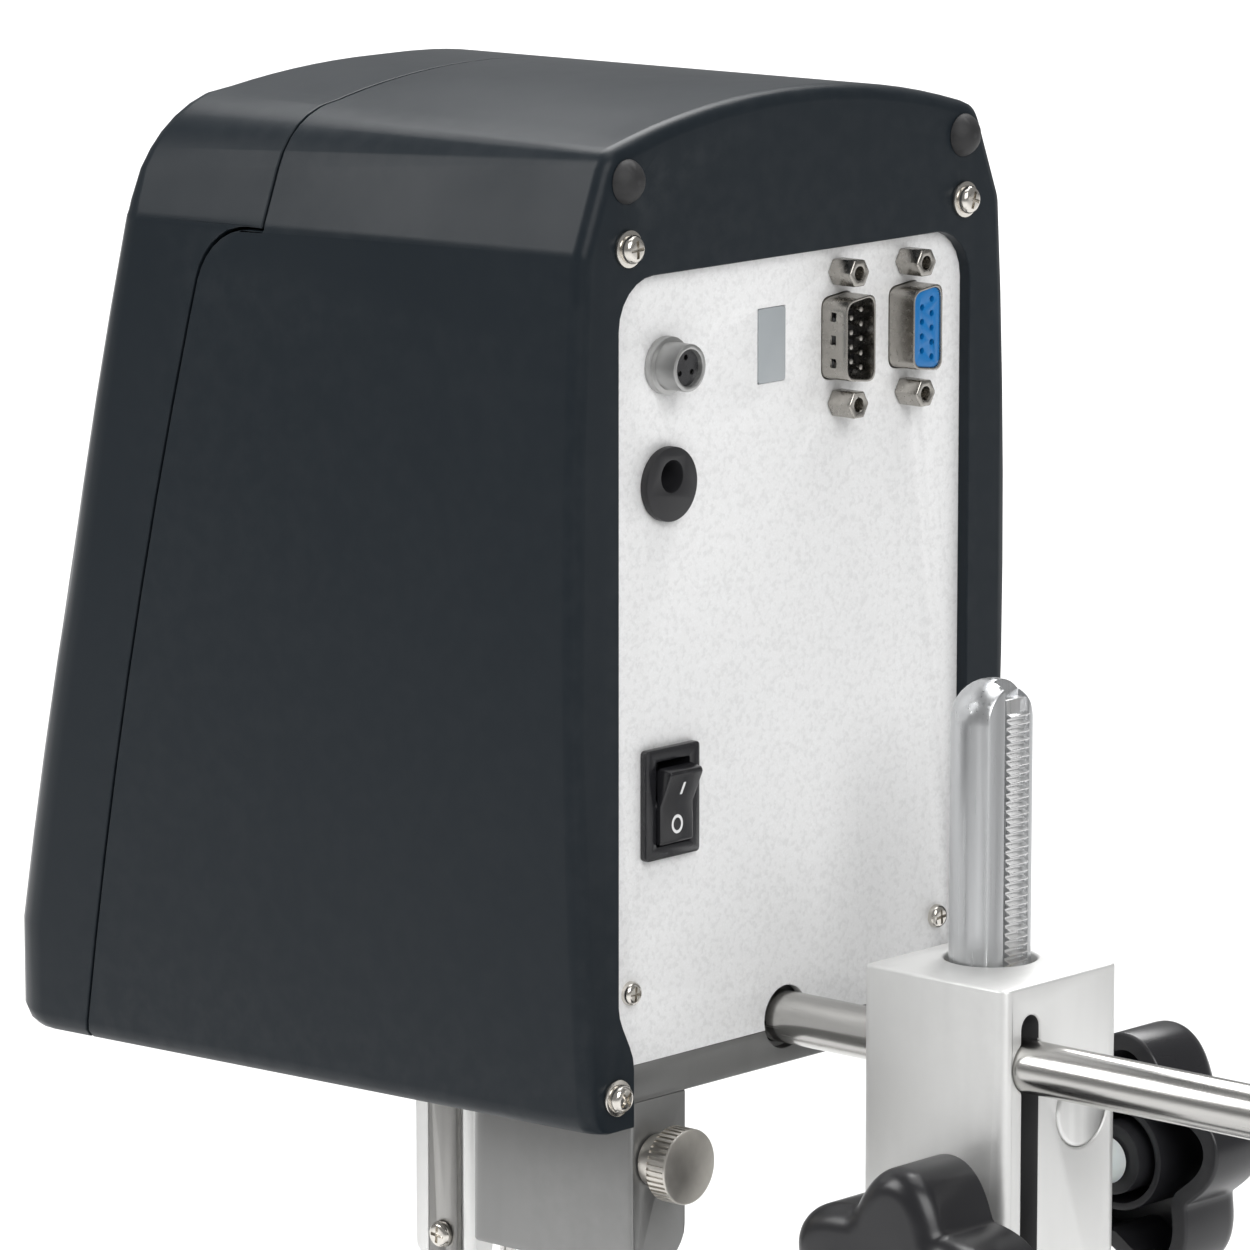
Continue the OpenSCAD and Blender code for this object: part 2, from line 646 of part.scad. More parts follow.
pivot_in = 1.2;
pivot_r = 1.1;
rocker_tilt = 11;
module at_switch() { translate([switch_x, panel_y + switch_lip, switch_z]) children(); }
module switch_bezel() {
    color("black") at_head() at_switch() difference() {
        union() {
            slab(-switch_lip, 0) polygon(rounded(box_points(switch_w, switch_h), 1));
            slab(-switch_lip - panel_t - 12, -switch_lip + 0.1) square([switch_w - 2.2, switch_h - 2.2], center = true);
        }
        slab(-8, cut) square([well_w, well_h], center = true);
        translate([-well_w / 2 - 1.2, -pivot_in, 0]) sideways() cylinder(r = pivot_r + running_gap, h = well_w + 2.4);
    }
}
// The paddle leans with its lower half pressed in
module switch_rocker() {
    reach = well_h / 2 - 0.7;
    color("black") at_head() at_switch() translate([0, -pivot_in, 0]) {
        rotate([-rocker_tilt, 0, 0]) rotate([90, 0, 90]) translate([0, 0, -well_w / 2 + 0.2])
            linear_extrude(well_w - 0.4) polygon([
                [-3.6, -3], [0.4, -reach], [3.2, -reach], [3.6, -reach + 0.6], [2.2, 0],
                [3.6, reach - 0.6], [3.2, reach], [0.4, reach], [-3.6, 3]]);
        translate([-well_w / 2 - 1, 0, 0]) sideways() cylinder(r = pivot_r, h = well_w + 2);
    }
}
module sensor_window() {
    color("gray") at_head() translate([window_x, 0, window_z]) {
        slab(panel_back - 1, panel_y + 0.2) polygon(rounded(box_points(7.7, 14.1), 0.8));
        slab(panel_back - 1, panel_back) square([10, 16.4], center = true);
    }
}
module pan_screw(r, head_r, len) {
    rearwards() {
        translate([0, 0, -len]) cylinder(r = r, h = len + 0.1);
        rotate_extrude() polygon(concat([[0, 0], [head_r, 0]], arc_points([0, -0.35 * head_r], 1.06 * head_r, 19, 90, 6)));
    }
}
washer_t = 0.8;
module cover_screws() {
    color("silver") at_head() cover_screw_places() {
        rearwards() cylinder(d = washer_d, h = washer_t);
        translate([0, washer_t - 0.05, 0]) pan_screw(cover_screw_r, 2.7, 10);
    }
}
module panel_screws() {
    color("silver") at_head() panel_screw_places() translate([0, panel_y, 0]) pan_screw(1.25, 2.3, 6);
}
module cover_plugs() {
    color("dimgray") at_head() plug_places() rearwards() {
        translate([0, 0, -cover_wall - 1.5]) cylinder(r = plug_stem_r, h = cover_wall + 2);
        rotate_extrude() polygon(concat([[0, 0], [plug_d / 2, 0]], arc_points([0, -1.4], 4.4, 20, 90, 8)));
    }
}

// Chassis inside the housing
plate_margin = cover_wall + 0.3;
post_r = 4;
post_x = 34;
post_y = 27;
module post_places() {
    for (s = [-1, 1]) for (e = [-1, 1]) translate([s * post_x, -spindle_y + e * post_y, 0]) children();
}
housing_bore_r = 10;
module chassis_plate() {
    x = side_x(plate_z) - plate_margin;
    y0 = front_y(0) + plate_margin + 0.4;
    r_front = front_side_r - cover_wall + 1;
    r_rear = 5;
    color("lightgray") at_head() difference() {
        union() {
            translate([0, 0, plate_z]) linear_extrude(plate_t)
                polygon(concat(
                    arc_points([r_front - x, y0 + r_front], r_front, 180, 270, 6),
                    arc_points([x - r_front, y0 + r_front], r_front, 270, 360, 6),
                    arc_points([x - r_rear, panel_y - r_rear], r_rear, 0, 90, 4),
                    arc_points([r_rear - x, panel_y - r_rear], r_rear, 90, 180, 4)));
        }
        translate([-x - cut, panel_y - 1, plate_top]) rotate([45, 0, 0]) cube([2 * x + 2 * cut, 3, 3]);
        for (s = [-1, 1]) translate([s * screw_low_x, panel_y - 12, screw_low_z]) rearwards()
            cylinder(r = cover_screw_r + stud_play, h = 20);
        translate([0, -rod_in - 2, rod_z]) rearwards() cylinder(r = rod_d / 2 + running_gap, h = rod_in + 10);
        translate([0, panel_back, rod_z]) rearwards() cylinder(r = rod_hole_r, h = 10);
        translate([0, -spindle_y, plate_z - cut]) cylinder(r = housing_bore_r + stud_play, h = plate_t + 2 * cut);
    }
}
module rod_holder() {
    w = 27;
    y0 = -rod_in;
    y1 = panel_back - 3;
    color("lightgray") at_head() difference() {
        translate([0, 0, plate_top]) slab(y0, y1) translate([0, 7]) polygon(rounded(box_points(w, 14), 2));
        translate([0, y0 - cut, rod_z]) rearwards() cylinder(r = rod_d / 2 + running_gap, h = y1 - y0 + 2 * cut);
    }
}
module motor_frame() {
    color("silver") at_head() difference() {
        union() {
            translate([0, -spindle_y, deck_z]) linear_extrude(deck_t)
                polygon(rounded(box_points(2 * post_x + 12, 2 * post_y + 12), 5));
            post_places() translate([0, 0, plate_top]) cylinder(r = post_r, h = deck_z - plate_top + 0.5);
        }
        translate([0, -spindle_y, deck_z - cut]) cylinder(r = 6, h = deck_t + 2 * cut);
    }
}
module drive_motor() {
    color("silver") at_head() translate([0, -spindle_y, deck_z + deck_t]) difference() {
        union() {
            cylinder(d = motor_d, h = motor_h);
            translate([0, 0, -deck_t - 1]) cylinder(r = 5.9, h = deck_t + 2);
        }
        translate([0, 0, -deck_t - 2]) cylinder(r = drive_r + running_gap, h = 18 + side_gap);
    }
}
module main_board() {
    color("green") at_head() translate([main_board_x, 0, main_board_z]) difference() {
        union() {
            slab(panel_back - board_stand - board_t, panel_back - board_stand)
                square([main_board_w, main_board_h], center = true);
            for (p = [[-12, 8, 14, 14, 2], [10, -10, 18, 10, 3], [14, 14, 8, 12, 6], [-14, -16, 10, 8, 5]])
                translate([p[0], 0, p[1]]) slab(panel_back - board_stand - board_t - p[4], panel_back - board_stand - board_t + 0.1)
                    square([p[2], p[3]], center = true);
        }
    }
}

// Drive train from the motor down to the spindle
drive_r = shaft_r + 0.5;
upper_disc_z = 62;
lower_disc_z = 50;
disc_t = 1;
spring_z = 54.5;
spring_h = 3;
spring_turns = 3;
spring_t = 0.5;
spring_in = 5.6;
spring_out = 15;
stud_x = spring_out + 0.95;
slots = 24;
module slotted_disc(hub_r) {
    difference() {
        cylinder(d = disc_d, h = disc_t);
        translate([0, 0, -cut]) cylinder(r = hub_r, h = disc_t + 2 * cut);
        for (k = [0 : slots - 1]) rotate([0, 0, 360 * k / slots]) translate([disc_d / 2 - 5, -1, -cut]) cube([3.5, 2, disc_t + 2 * cut]);
    }
}
module at_spindle() { at_head() translate([0, -spindle_y, 0]) children(); }
module drive_rotor() {
    color("silver") at_spindle() {
        translate([0, 0, upper_disc_z]) slotted_disc(2);
        difference() {
            union() {
                translate([0, 0, upper_disc_z]) cylinder(r = drive_r, h = deck_z + deck_t - upper_disc_z + 12);
                translate([0, 0, upper_disc_z - 1]) cylinder(r = 7, h = 8);
            }
            translate([0, 0, upper_disc_z - 2]) cylinder(r = 1 + running_gap, h = 5);
        }
        translate([stud_x, 0, spring_z]) cylinder(r = 0.9, h = upper_disc_z - spring_z + 0.1, $fn = 24);
    }
}
function spiral(k, t) = let (n = 24 * spring_turns, a = 360 * spring_turns * k / n,
    r = spring_in + (spring_out - spring_in) * k / n + t) r * [cos(a), sin(a)];
module torsion_spring() {
    n = 24 * spring_turns;
    color("silver") at_spindle() translate([0, 0, spring_z]) linear_extrude(spring_h)
        polygon(concat([for (k = [0 : n]) spiral(k, 0)], [for (k = [n : -1 : 0]) spiral(k, -spring_t)]));
}
module encoder_disc() {
    color("silver") at_spindle() translate([0, 0, lower_disc_z]) slotted_disc(shaft_r + stud_play);
}
coupling_r = 5;
coupling_z = -12;
coupling_h = 18;
collet_r = spring_in - spring_t - side_gap;
stud_r = 2;
module spindle_shaft() {
    color("silver") at_spindle() difference() {
        union() {
            translate([0, 0, coupling_z - coupling_h]) cylinder(r = coupling_r, h = coupling_h);
            translate([0, 0, coupling_z - 0.1]) cylinder(r = shaft_r, h = upper_disc_z - 2 - coupling_z);
            translate([0, 0, lower_disc_z + disc_t]) cylinder(r = collet_r, h = spring_z + spring_h - lower_disc_z - disc_t - 0.5);
            translate([0, 0, lower_disc_z - 3]) cylinder(r = collet_r, h = 3);
            translate([0, 0, upper_disc_z - 3]) cylinder(r = 1, h = 4.5);
        }
        translate([0, 0, coupling_z - coupling_h - cut]) cylinder(r = stud_r + stud_play, h = 10 + cut);
    }
}
spindle_top = coupling_z - coupling_h;
guard_clearance = 8;
module spindle() {
    tip = 10;
    top = spindle_h + tip + guard_clearance - guard_len;
    color("silver") at_spindle() {
        translate([0, 0, spindle_top - 10]) cylinder(r = 4, h = 10);
        translate([0, 0, spindle_top - 0.1]) cylinder(r = stud_r, h = 9);
        translate([0, 0, top - spindle_h - tip]) cylinder(r = 1.6, h = spindle_h + tip + spindle_top - top - 9);
        translate([0, 0, top - spindle_h]) cylinder(d = spindle_d, h = spindle_h);
    }
}
bearing_r = 6.5;
bearing_h = 5;
module bearing_housing() {
    color("silver") at_spindle() difference() {
        union() {
            translate([0, 0, plate_top]) cylinder(r = 15, h = 4);
            translate([0, 0, plate_z - 8]) cylinder(r = housing_bore_r, h = plate_top - plate_z + 8.1);
        }
        translate([0, 0, plate_z - 8 - cut]) cylinder(r = 4, h = 40);
        translate([0, 0, plate_z - 8 - cut]) cylinder(r = bearing_r, h = bearing_h + cut);
        translate([0, 0, plate_top + 4 - bearing_h]) cylinder(r = bearing_r, h = bearing_h + cut);
    }
}
module shaft_bearings() {
    color("silver") at_spindle() for (z = [plate_z - 8, plate_top + 4 - bearing_h])
        translate([0, 0, z]) tube(bearing_r, shaft_r + running_gap, bearing_h);
}

// Guard and probe clamp under the head
mount_wall = 5;
groove_w = strip_w + 1.9;
groove_depth = strip_t + 0.1;
guard_screw_z = -39.5;
strip_y = -spindle_y - 0.9;
groove_top = plate_z - 4;
module guard_mount() {
    foot = plate_z - guard_drop;
    color("lightgray") at_head() difference() {
        union() {
            translate([0, -spindle_y, plate_z - 6]) cylinder(r = guard_w / 2, h = 6);
            translate([0, -spindle_y, foot]) intersection() {
                slab(-guard_leg_w / 2, guard_leg_w / 2) translate([0, guard_drop / 2])
                    square([guard_w, guard_drop], center = true);
                rotate([90, 0, 90]) translate([0, guard_drop / 2, -guard_w]) linear_extrude(2 * guard_w)
                    polygon(rounded(box_points(guard_leg_w, guard_drop), 3));
            }
        }
        translate([0, -spindle_y, foot - cut]) linear_extrude(guard_drop - 6)
            square([guard_w - 2 * mount_wall, guard_leg_w + 2 * cut], center = true);
        translate([0, -spindle_y, plate_z - 12]) cylinder(r = housing_bore_r + stud_play, h = 12 + cut);
        for (s = [-1, 1]) {
            translate([s * (guard_w / 2 - groove_depth / 2 + cut), -spindle_y, (foot - cut + groove_top) / 2])
                cube([groove_depth + 2 * cut, groove_w, groove_top - foot + cut], center = true);
            translate([s * (guard_w / 2 - mount_wall / 2), strip_y, guard_screw_z]) sideways()
                cylinder(r = 1.25 + stud_play, h = mount_wall + 2 * cut, center = true);
        }
    }
}
// The strip runs down one side, across the foot and up the other
module spindle_guard() {
    x = guard_w / 2 - groove_depth;
    bend_r = 10;
    strip_top = groove_top - side_gap;
    z1 = strip_top + bend_r + 3;
    color("lightgray") at_head() difference() {
        slab(strip_y - strip_w / 2, strip_y + strip_w / 2) difference() {
            translate([0, (z1 - guard_len) / 2]) polygon(rounded([[-x - strip_t, (z1 + guard_len) / 2],
                [-x - strip_t, -(z1 + guard_len) / 2], [x + strip_t, -(z1 + guard_len) / 2],
                [x + strip_t, (z1 + guard_len) / 2]], bend_r + strip_t, 8), convexity = 4);
            translate([0, (z1 - guard_len) / 2 + 20]) polygon(rounded([[-x, (z1 + guard_len) / 2],
                [-x, -(z1 + guard_len) / 2 + strip_t - 20], [x, -(z1 + guard_len) / 2 + strip_t - 20],
                [x, (z1 + guard_len) / 2]], bend_r, 8));
            translate([-guard_w, strip_top]) square([2 * guard_w, bend_r + 10]);
        }
        for (s = [-1, 1]) translate([s * (x + strip_t / 2), strip_y, guard_screw_z]) sideways()
            cylinder(r = 1.25 + stud_play, h = strip_t + 2 * cut, center = true);
    }
}
module guard_screws() {
    color("silver") at_head() for (s = [-1, 1])
        translate([s * (guard_w / 2 - groove_depth + strip_t), strip_y, guard_screw_z])
            rotate([0, 0, s > 0 ? -90 : 90]) pan_screw(1.25, 2.6, strip_t + mount_wall - groove_depth);
}
probe_y = -20;
bore_x = probe_x + thumb_offset;
probe_corner_r = 9.5;
thumb_screw_r = 2.5;
thumb_collar_len = 4.3;
module probe_clamp() {
    y0 = panel_y - probe_depth;
    color("lightgray") at_head() difference() {
        intersection() {
            translate([probe_x, 0, plate_z - probe_drop]) linear_extrude(probe_drop)
                polygon(rounded([[-probe_w / 2, y0], [probe_w / 2, y0], [probe_w / 2, panel_y], [-probe_w / 2, panel_y]], 1.2));
            translate([probe_x, 0, plate_z]) slab(y0 - cut, panel_y + cut) polygon(concat(
                arc_points([probe_corner_r - probe_w / 2, probe_corner_r - probe_drop], probe_corner_r, 180, 270, 8),
                arc_points([probe_w / 2 - 1.5, 1.5 - probe_drop], 1.5, 270, 360, 3),
                [[probe_w / 2, cut], [-probe_w / 2, cut]]));
            translate([0, 0, -60]) linear_extrude(100) polygon(concat(
                arc_points([probe_x + probe_w / 2 - 6, y0 + 6], 6, 270, 360, 6),
                [[probe_x + probe_w / 2, 10], [0, 10], [0, y0]]));
        }
        translate([bore_x, probe_y, plate_z - probe_drop - cut]) cylinder(r = probe_bore_r, h = probe_drop + 2 * cut);
        translate([bore_x, probe_y, thumb_z]) rearwards() cylinder(r = thumb_screw_r + stud_play, h = -probe_y + 10);
    }
}
module probe_thumbscrew() {
    tip = probe_y + probe_bore_r + 0.6;
    color("silver") at_head() translate([bore_x, 0, thumb_z]) {
        translate([0, tip, 0]) rearwards() cylinder(r = thumb_screw_r, h = panel_y - tip + side_gap + 0.1);
        translate([0, panel_y + side_gap, 0]) rearwards() {
            cylinder(r = 5, h = thumb_collar_len + 0.1);
            translate([0, 0, thumb_collar_len]) rotate_extrude() polygon([[0, 0], [thumb_d / 2 - 0.5, 0],
                [thumb_d / 2, 0.5], [thumb_d / 2, 4], [thumb_d / 2 - 0.5, 4.5], [0, 4.5]]);
        }
    }
}

// Front face
key_flange = 1.2;
module key_places() { for (k = [-2 : 2]) at_front(key_u) translate([k * key_pitch, 0, 0]) children(); }
// A key with its cap outside, a flange behind the cover and a plunger towards the board
module key(k, tint) {
    color(tint) at_head() at_front(key_u) translate([k * key_pitch, 0, 0]) rearwards() {
        translate([0, 0, -1.6]) cylinder(d = key_d, h = cover_wall + 2);
        translate([0, 0, cover_wall + side_gap]) cylinder(d = key_d + 3, h = key_flange);
        translate([0, 0, cover_wall + 0.5]) cylinder(r = 2, h = board_y - cover_wall - key_travel - 0.5 - side_gap);
    }
}
module key_up() { key(-2, "dimgray"); }
module key_down() { key(-1, "dimgray"); }
module key_set() { key(0, "dimgray"); }
module key_run() { key(1, "seagreen"); }
module key_stop() { key(2, "firebrick"); }
module display_window() {
    color("lightblue") at_head() at_front(lens_u) slab(0, lens_t) polygon(rounded(box_points(lens_w - 0.4, lens_h - 0.4), 4));
}
module lcd_module() {
    color("darkolivegreen") at_head() at_front(lens_u) slab(cover_wall + 0.8, board_y) square([lens_w - 6, lens_h - 4], center = true);
}
module display_board() {
    color("green") at_head() at_front(board_u) difference() {
        slab(board_y, board_y + board_t) square([board_w, board_h], center = true);
        board_corners() translate([0, board_y - cut, 0]) rearwards() cylinder(r = 1.5, h = board_t + 2 * cut);
    }
}

// Support rod, column and rack
module support_rod() {
    chamfer = 1;
    color("silver") at_head() translate([0, -rod_in, rod_z]) rearwards() {
        cylinder(d1 = rod_d - 2 * chamfer, d2 = rod_d, h = chamfer);
        translate([0, 0, chamfer]) cylinder(d = rod_d, h = rod_in + rod_out - 2 * chamfer);
        translate([0, 0, rod_in + rod_out - chamfer]) cylinder(d1 = rod_d, d2 = rod_d - 2 * chamfer, h = chamfer);
    }
}
column_foot = base_z + 12;
column_stud_r = 6;
groove_x0 = rack_x - rack_w / 2;
groove_x1 = groove_x0 + rack_w + 1.8;
groove_y = column_flat - 3;
rack_top = column_top - column_d / 2 + 4;
module column() {
    dome_z = column_top - column_d / 2;
    color("silver") at_column() difference() {
        union() {
            translate([0, 0, column_foot]) cylinder(d = column_d, h = dome_z - column_foot);
            translate([0, 0, dome_z]) sphere(d = column_d);
            translate([0, 0, base_z + 1]) cylinder(r = column_stud_r, h = 12);
        }
        translate([-column_d, column_flat, rack_z0 - 8]) cube([2 * column_d, column_d, column_top]);
        translate([groove_x0, groove_y, rack_z0 - 2]) cube([groove_x1 - groove_x0, column_d, column_top]);
    }
}
// Straight rack, a tooth space facing the pinion's axis at the rest height
tooth_depth = 2.25 * tooth_module;
tooth_slope = tan(20);
tooth_play = 0.08;
module rack_strip() {
    first = ceil((rack_z0 + pitch - pinion_z) / pitch);
    last = floor((rack_top - pitch - pinion_z) / pitch);
    tip = tooth_module;
    root = -tooth_depth + tooth_module;
    teeth = [for (k = [first : last]) let (z = pinion_z + k * pitch)
        for (p = [[root, -1], [tip, -1], [tip, 1], [root, 1]])
            [rack_pitch_y + p[0], z + p[1] * (pitch / 4 - tooth_play - p[0] * tooth_slope)]];
    color("gainsboro") at_column() translate([groove_x0, 0, 0]) rotate([90, 0, 90]) linear_extrude(rack_w)
        polygon(concat([[groove_y, rack_z0]], [[rack_pitch_y + root, rack_z0]], teeth,
                       [[rack_pitch_y + root, rack_top], [groove_y, rack_top]]));
}
module column_nut() {
    color("silver") at_column() translate([0, 0, base_z + 2]) difference() {
        union() {
            translate([0, 0, 0]) hexagon(18, 6);
            translate([0, 0, 6]) cylinder(r = 12, h = 2);
        }
        translate([0, 0, -cut]) cylinder(r = column_stud_r + stud_play, h = 12);
    }
}

// Carriage
rod_bore_z = head_z + rod_z;
slit_top = rod_bore_z + rod_d / 2 + 4.7;
column_bore_r = column_d / 2 + column_gap;
bush_out_r = column_d / 2 + running_gap + bush_wall;
pinion_pocket_r = pinion_tip_r + 0.35;
journal_r = 3;
block_corner_r = 2;
module carriage_block() {
    clamp_z = head_z - clamp_drop;
    color("silver") at_column() difference() {
        translate([0, 0, block_z0]) linear_extrude(block_h) polygon(rounded([
            [-block_left, -block_front], [block_right, -block_front],
            [block_right, block_rear], [-block_left, block_rear]], block_corner_r, 4));
        translate([0, 0, block_z0 - cut]) cylinder(r = column_bore_r, h = block_h + 2 * cut);
        translate([0, 0, block_z1 - bush_mouth]) cylinder(r = bush_out_r + stud_play, h = bush_mouth + cut);
        translate([0, 0, block_z1 - bush_mouth - bush_len]) cylinder(r = bush_out_r, h = bush_len + 0.5);
        translate([0, 0, block_z0 - cut]) cylinder(r = bush_out_r, h = bush_len + cut);
        translate([rod_offset, -block_front - cut, rod_bore_z]) rearwards()
            cylinder(r = rod_d / 2 + running_gap, h = block_depth + 2 * cut);
        translate([rod_offset, 0, 0]) slab(-block_front - cut, block_rear + cut) {
            translate([-slit_w / 2, block_z0 - cut]) square([slit_w, slit_top - slit_w / 2 - block_z0 + cut]);
            translate([0, slit_top - slit_w / 2]) circle(d = slit_w);
        }
        translate([-block_left - cut, pinion_y, pinion_z]) sideways()
            cylinder(r = pinion_pocket_r, h = block_left + cut + rack_x + pinion_w / 2 + side_gap);
        translate([-block_left - cut, pinion_y, pinion_z]) sideways()
            cylinder(r = journal_r + running_gap, h = block_left + cut + rod_offset - slit_w / 2 - 1.5);
        translate([-2, clamp_y, clamp_z]) sideways() cylinder(r = clamp_screw_r + running_gap, h = block_right + 2 + cut);
        translate([plug_x, block_rear - 4, bore_plug_z]) rearwards() cylinder(d = bore_plug_d, h = 4 + cut);
    }
}
bore_plug_z = pinion_z + pinion_pocket_r + bore_plug_d / 2 + 0.6;
module bore_plug() {
    color("silver") at_column() translate([plug_x, block_rear - 4, bore_plug_z]) rearwards()
        rotate_extrude() polygon([[0, 0], [bore_plug_d / 2, 0], [bore_plug_d / 2, 3.6], [bore_plug_d / 2 - 0.6, 4.2], [0, 4.2]]);
}
module column_bushes() {
    color("goldenrod") at_column() for (z = [block_z0, block_z1 - bush_mouth - bush_len])
        translate([0, 0, z]) tube(bush_out_r, column_d / 2 + running_gap, bush_len);
}
bush_seat = 4;
lift_bush_r = 4.6;
module pinion_bush() {
    color("white") at_column() translate([-block_left - lift_bush_len, pinion_y, pinion_z]) sideways() difference() {
        union() {
            cylinder(r = lift_bush_r, h = lift_bush_len + 0.5);
            translate([0, 0, lift_bush_len]) cylinder(r = pinion_pocket_r - stud_play, h = bush_seat);
        }
        translate([0, 0, -cut]) cylinder(r = journal_r + running_gap, h = 30);
    }
}
knob_hub_r = 7;
knob_inset = 2.6;
module pinion_shaft() {
    x0 = -block_left - lift_bush_len - side_gap - lift_hub_out - lift_stud_in;
    x1 = rod_offset - slit_w / 2 - 2;
    tip = pinion_tip_r;
    root = pinion_pitch_r - 1.2 * tooth_module;
    half_tip = 90 / pinion_teeth * 0.42;
    half_root = 90 / pinion_teeth * 1.15;
    color("silver") at_column() translate([0, pinion_y, pinion_z]) {
        translate([x0, 0, 0]) sideways() cylinder(r = journal_r, h = x1 - x0);
        translate([rack_x - pinion_w / 2, 0, 0]) rotate([90, 0, 90]) linear_extrude(pinion_w)
            polygon([for (k = [0 : pinion_teeth - 1]) let (a = 180 + 360 * (k + 0.5) / pinion_teeth)
                for (p = [[root, -half_root], [tip, -half_tip], [tip, half_tip], [root, half_root]])
                    p[0] * [cos(a + p[1]), sin(a + p[1])]]);
    }
}

// Lobed knobs, hollow behind, drawn with their rim at z = 0 and their face at z = knob_t
function lobe_r(a) = knob_r - knob_hollow * (1 - pow(0.5 + 0.5 * cos(knob_lobes * a), 0.65));
knob_steps = 60;
// Only the right half is listed, because the skin mirrors it
function knob_ring(inset, z, turn) = [for (k = [0 : knob_steps - 1])
    let (a = -90 + 360 * (k + 0.5) / knob_steps, r = lobe_r(a - turn) - inset) [r * cos(a), r * sin(a), z]];
module knob_body(turn) {
    edge = 5;
    n = knob_steps;
    rings = concat([knob_ring(0.8, 0, turn), knob_ring(0, 1, turn)],
        [for (a = [0 : 22.5 : 90]) knob_ring(edge * (1 - cos(a)) + 0.6, knob_t - edge + edge * sin(a), turn)]);
    count = len(rings);
    points = concat([[0, 0, 0]], [for (ring = rings) for (p = ring) p], [[0, 0, knob_t + 0.6]]);
    sides = [for (k = [0 : count - 2]) for (i = [0 : n - 1])
        [1 + k * n + i, 1 + (k + 1) * n + i, 1 + (k + 1) * n + (i + 1) % n, 1 + k * n + (i + 1) % n]];
    under = [for (i = [0 : n - 1]) [0, 1 + i, 1 + (i + 1) % n]];
    over = [for (i = [0 : n - 1]) [1 + count * n, 1 + (count - 1) * n + (i + 1) % n, 1 + (count - 1) * n + i]];
    polyhedron(points, concat(sides, under, over), convexity = 6);
}
module knob(turn, hub_out, bore_r, bore_depth) {
    difference() {
        union() {
            difference() {
                knob_body(turn);
                translate([0, 0, -cut]) linear_extrude(knob_t - 4 + cut)
                    polygon([for (p = knob_ring(knob_inset + 0.8, 0, turn)) [p[0], p[1]]]);
            }
            tube(10.5, 9, knob_t - 3);
            translate([0, 0, -hub_out]) cylinder(r = knob_hub_r, h = knob_t + hub_out - 3);
        }
        translate([0, 0, -hub_out - cut]) cylinder(r = bore_r, h = bore_depth + cut);
    }
}
lift_hub_out = 2.5;
lift_stud_in = 11.5;
module lift_knob() {
    x = -block_left - lift_bush_len - side_gap - lift_hub_out;
    color("black") at_column() translate([x, pinion_y, pinion_z]) rotate([0, -90, 0])
        knob(5, lift_hub_out, journal_r + stud_play, lift_hub_out + lift_stud_in + stud_play);
}
clamp_hub_out = 6;
clamp_stud_in = 16;
module clamp_knob() {
    color("black") at_column() translate([block_right + clamp_knob_gap + clamp_hub_out, clamp_y, head_z - clamp_drop]) sideways()
        knob(175, clamp_hub_out, clamp_screw_r + stud_play, clamp_stud_in);
}
module clamp_screw() {
    color("silver") at_column() translate([-1, clamp_y, head_z - clamp_drop]) sideways()
        cylinder(r = clamp_screw_r, h = block_right + clamp_knob_gap + clamp_stud_in);
}

// Base with its legs, feet and level
// A leg is a bar between two rounded ends, with a chamfered upper edge
module bar(a, ra, b, rb) {
    chamfer = 3;
    hull() for (e = [[a, ra], [b, rb]]) translate([e[0][0], e[0][1], base_z]) {
        cylinder(r = e[1], h = base_t - chamfer, $fn = 40);
        cylinder(r = e[1] - chamfer, h = base_t, $fn = 40);
    }
}
beam_y = column_at[1] - 15;
level_at = [58, column_at[1] - 15];
level_r = 9;
level_depth = 5;
module base_casting() {
    color("lightgray") difference() {
        union() {
            for (s = [-1, 1]) bar([s * foot_x, -foot_y], leg_r, [s * foot_x, beam_y], leg_r + 2);
            bar([-foot_x, beam_y], leg_r + 2, [foot_x, beam_y], leg_r + 2);
            bar([0, beam_y + 8], leg_r + 12, [0, foot_y], leg_r);
            at_column() translate([0, 0, base_z + base_t - 1]) cylinder(r1 = 24, r2 = 21, h = boss_h + 1);
        }
        at_column() {
            translate([0, 0, column_foot]) cylinder(r = column_d / 2 + stud_play, h = 40);
            translate([0, 0, base_z - cut]) cylinder(r = column_stud_r + stud_play, h = 40);
            translate([0, 0, base_z - cut]) cylinder(r = 15, h = 10 + cut);
        }
        foot_places() cylinder(r = foot_stud_r + running_gap, h = base_z + base_t - 4);
        for (s = [-1, 1]) translate([s * foot_x, -20, base_z - cut]) linear_extrude(11)
            polygon(rounded(box_points(2 * leg_r - 12, 150), 8));
        translate([level_at[0], level_at[1], base_z + base_t - level_depth]) cylinder(r = level_r + stud_play, h = 20);
    }
}
module foot_places() {
    for (s = [-1, 1]) translate([s * foot_x, -foot_y, 0]) children();
    translate([0, foot_y, 0]) children();
}
foot_pad_h = 3;
foot_disc_h = 7;
nut_h = base_z - foot_pad_h - foot_disc_h - side_gap;
module foot() {
    pad = foot_pad_h;
    top = foot_pad_h + foot_disc_h;
    color("dimgray") rotate_extrude() polygon([[0, 0], [foot_r - 3, 0], [foot_r - 2, 1], [foot_r - 2, pad],
        [foot_r - 0.8, pad], [foot_r, pad + 0.8], [foot_r, top - 0.8], [foot_r - 0.8, top],
        [foot_stud_r, top], [foot_stud_r, base_z + base_t - 6], [0, base_z + base_t - 6]]);
}
module foot_front_left() { translate([-foot_x, -foot_y, 0]) foot(); }
module foot_front_right() { translate([foot_x, -foot_y, 0]) foot(); }
module foot_rear() { translate([0, foot_y, 0]) foot(); }
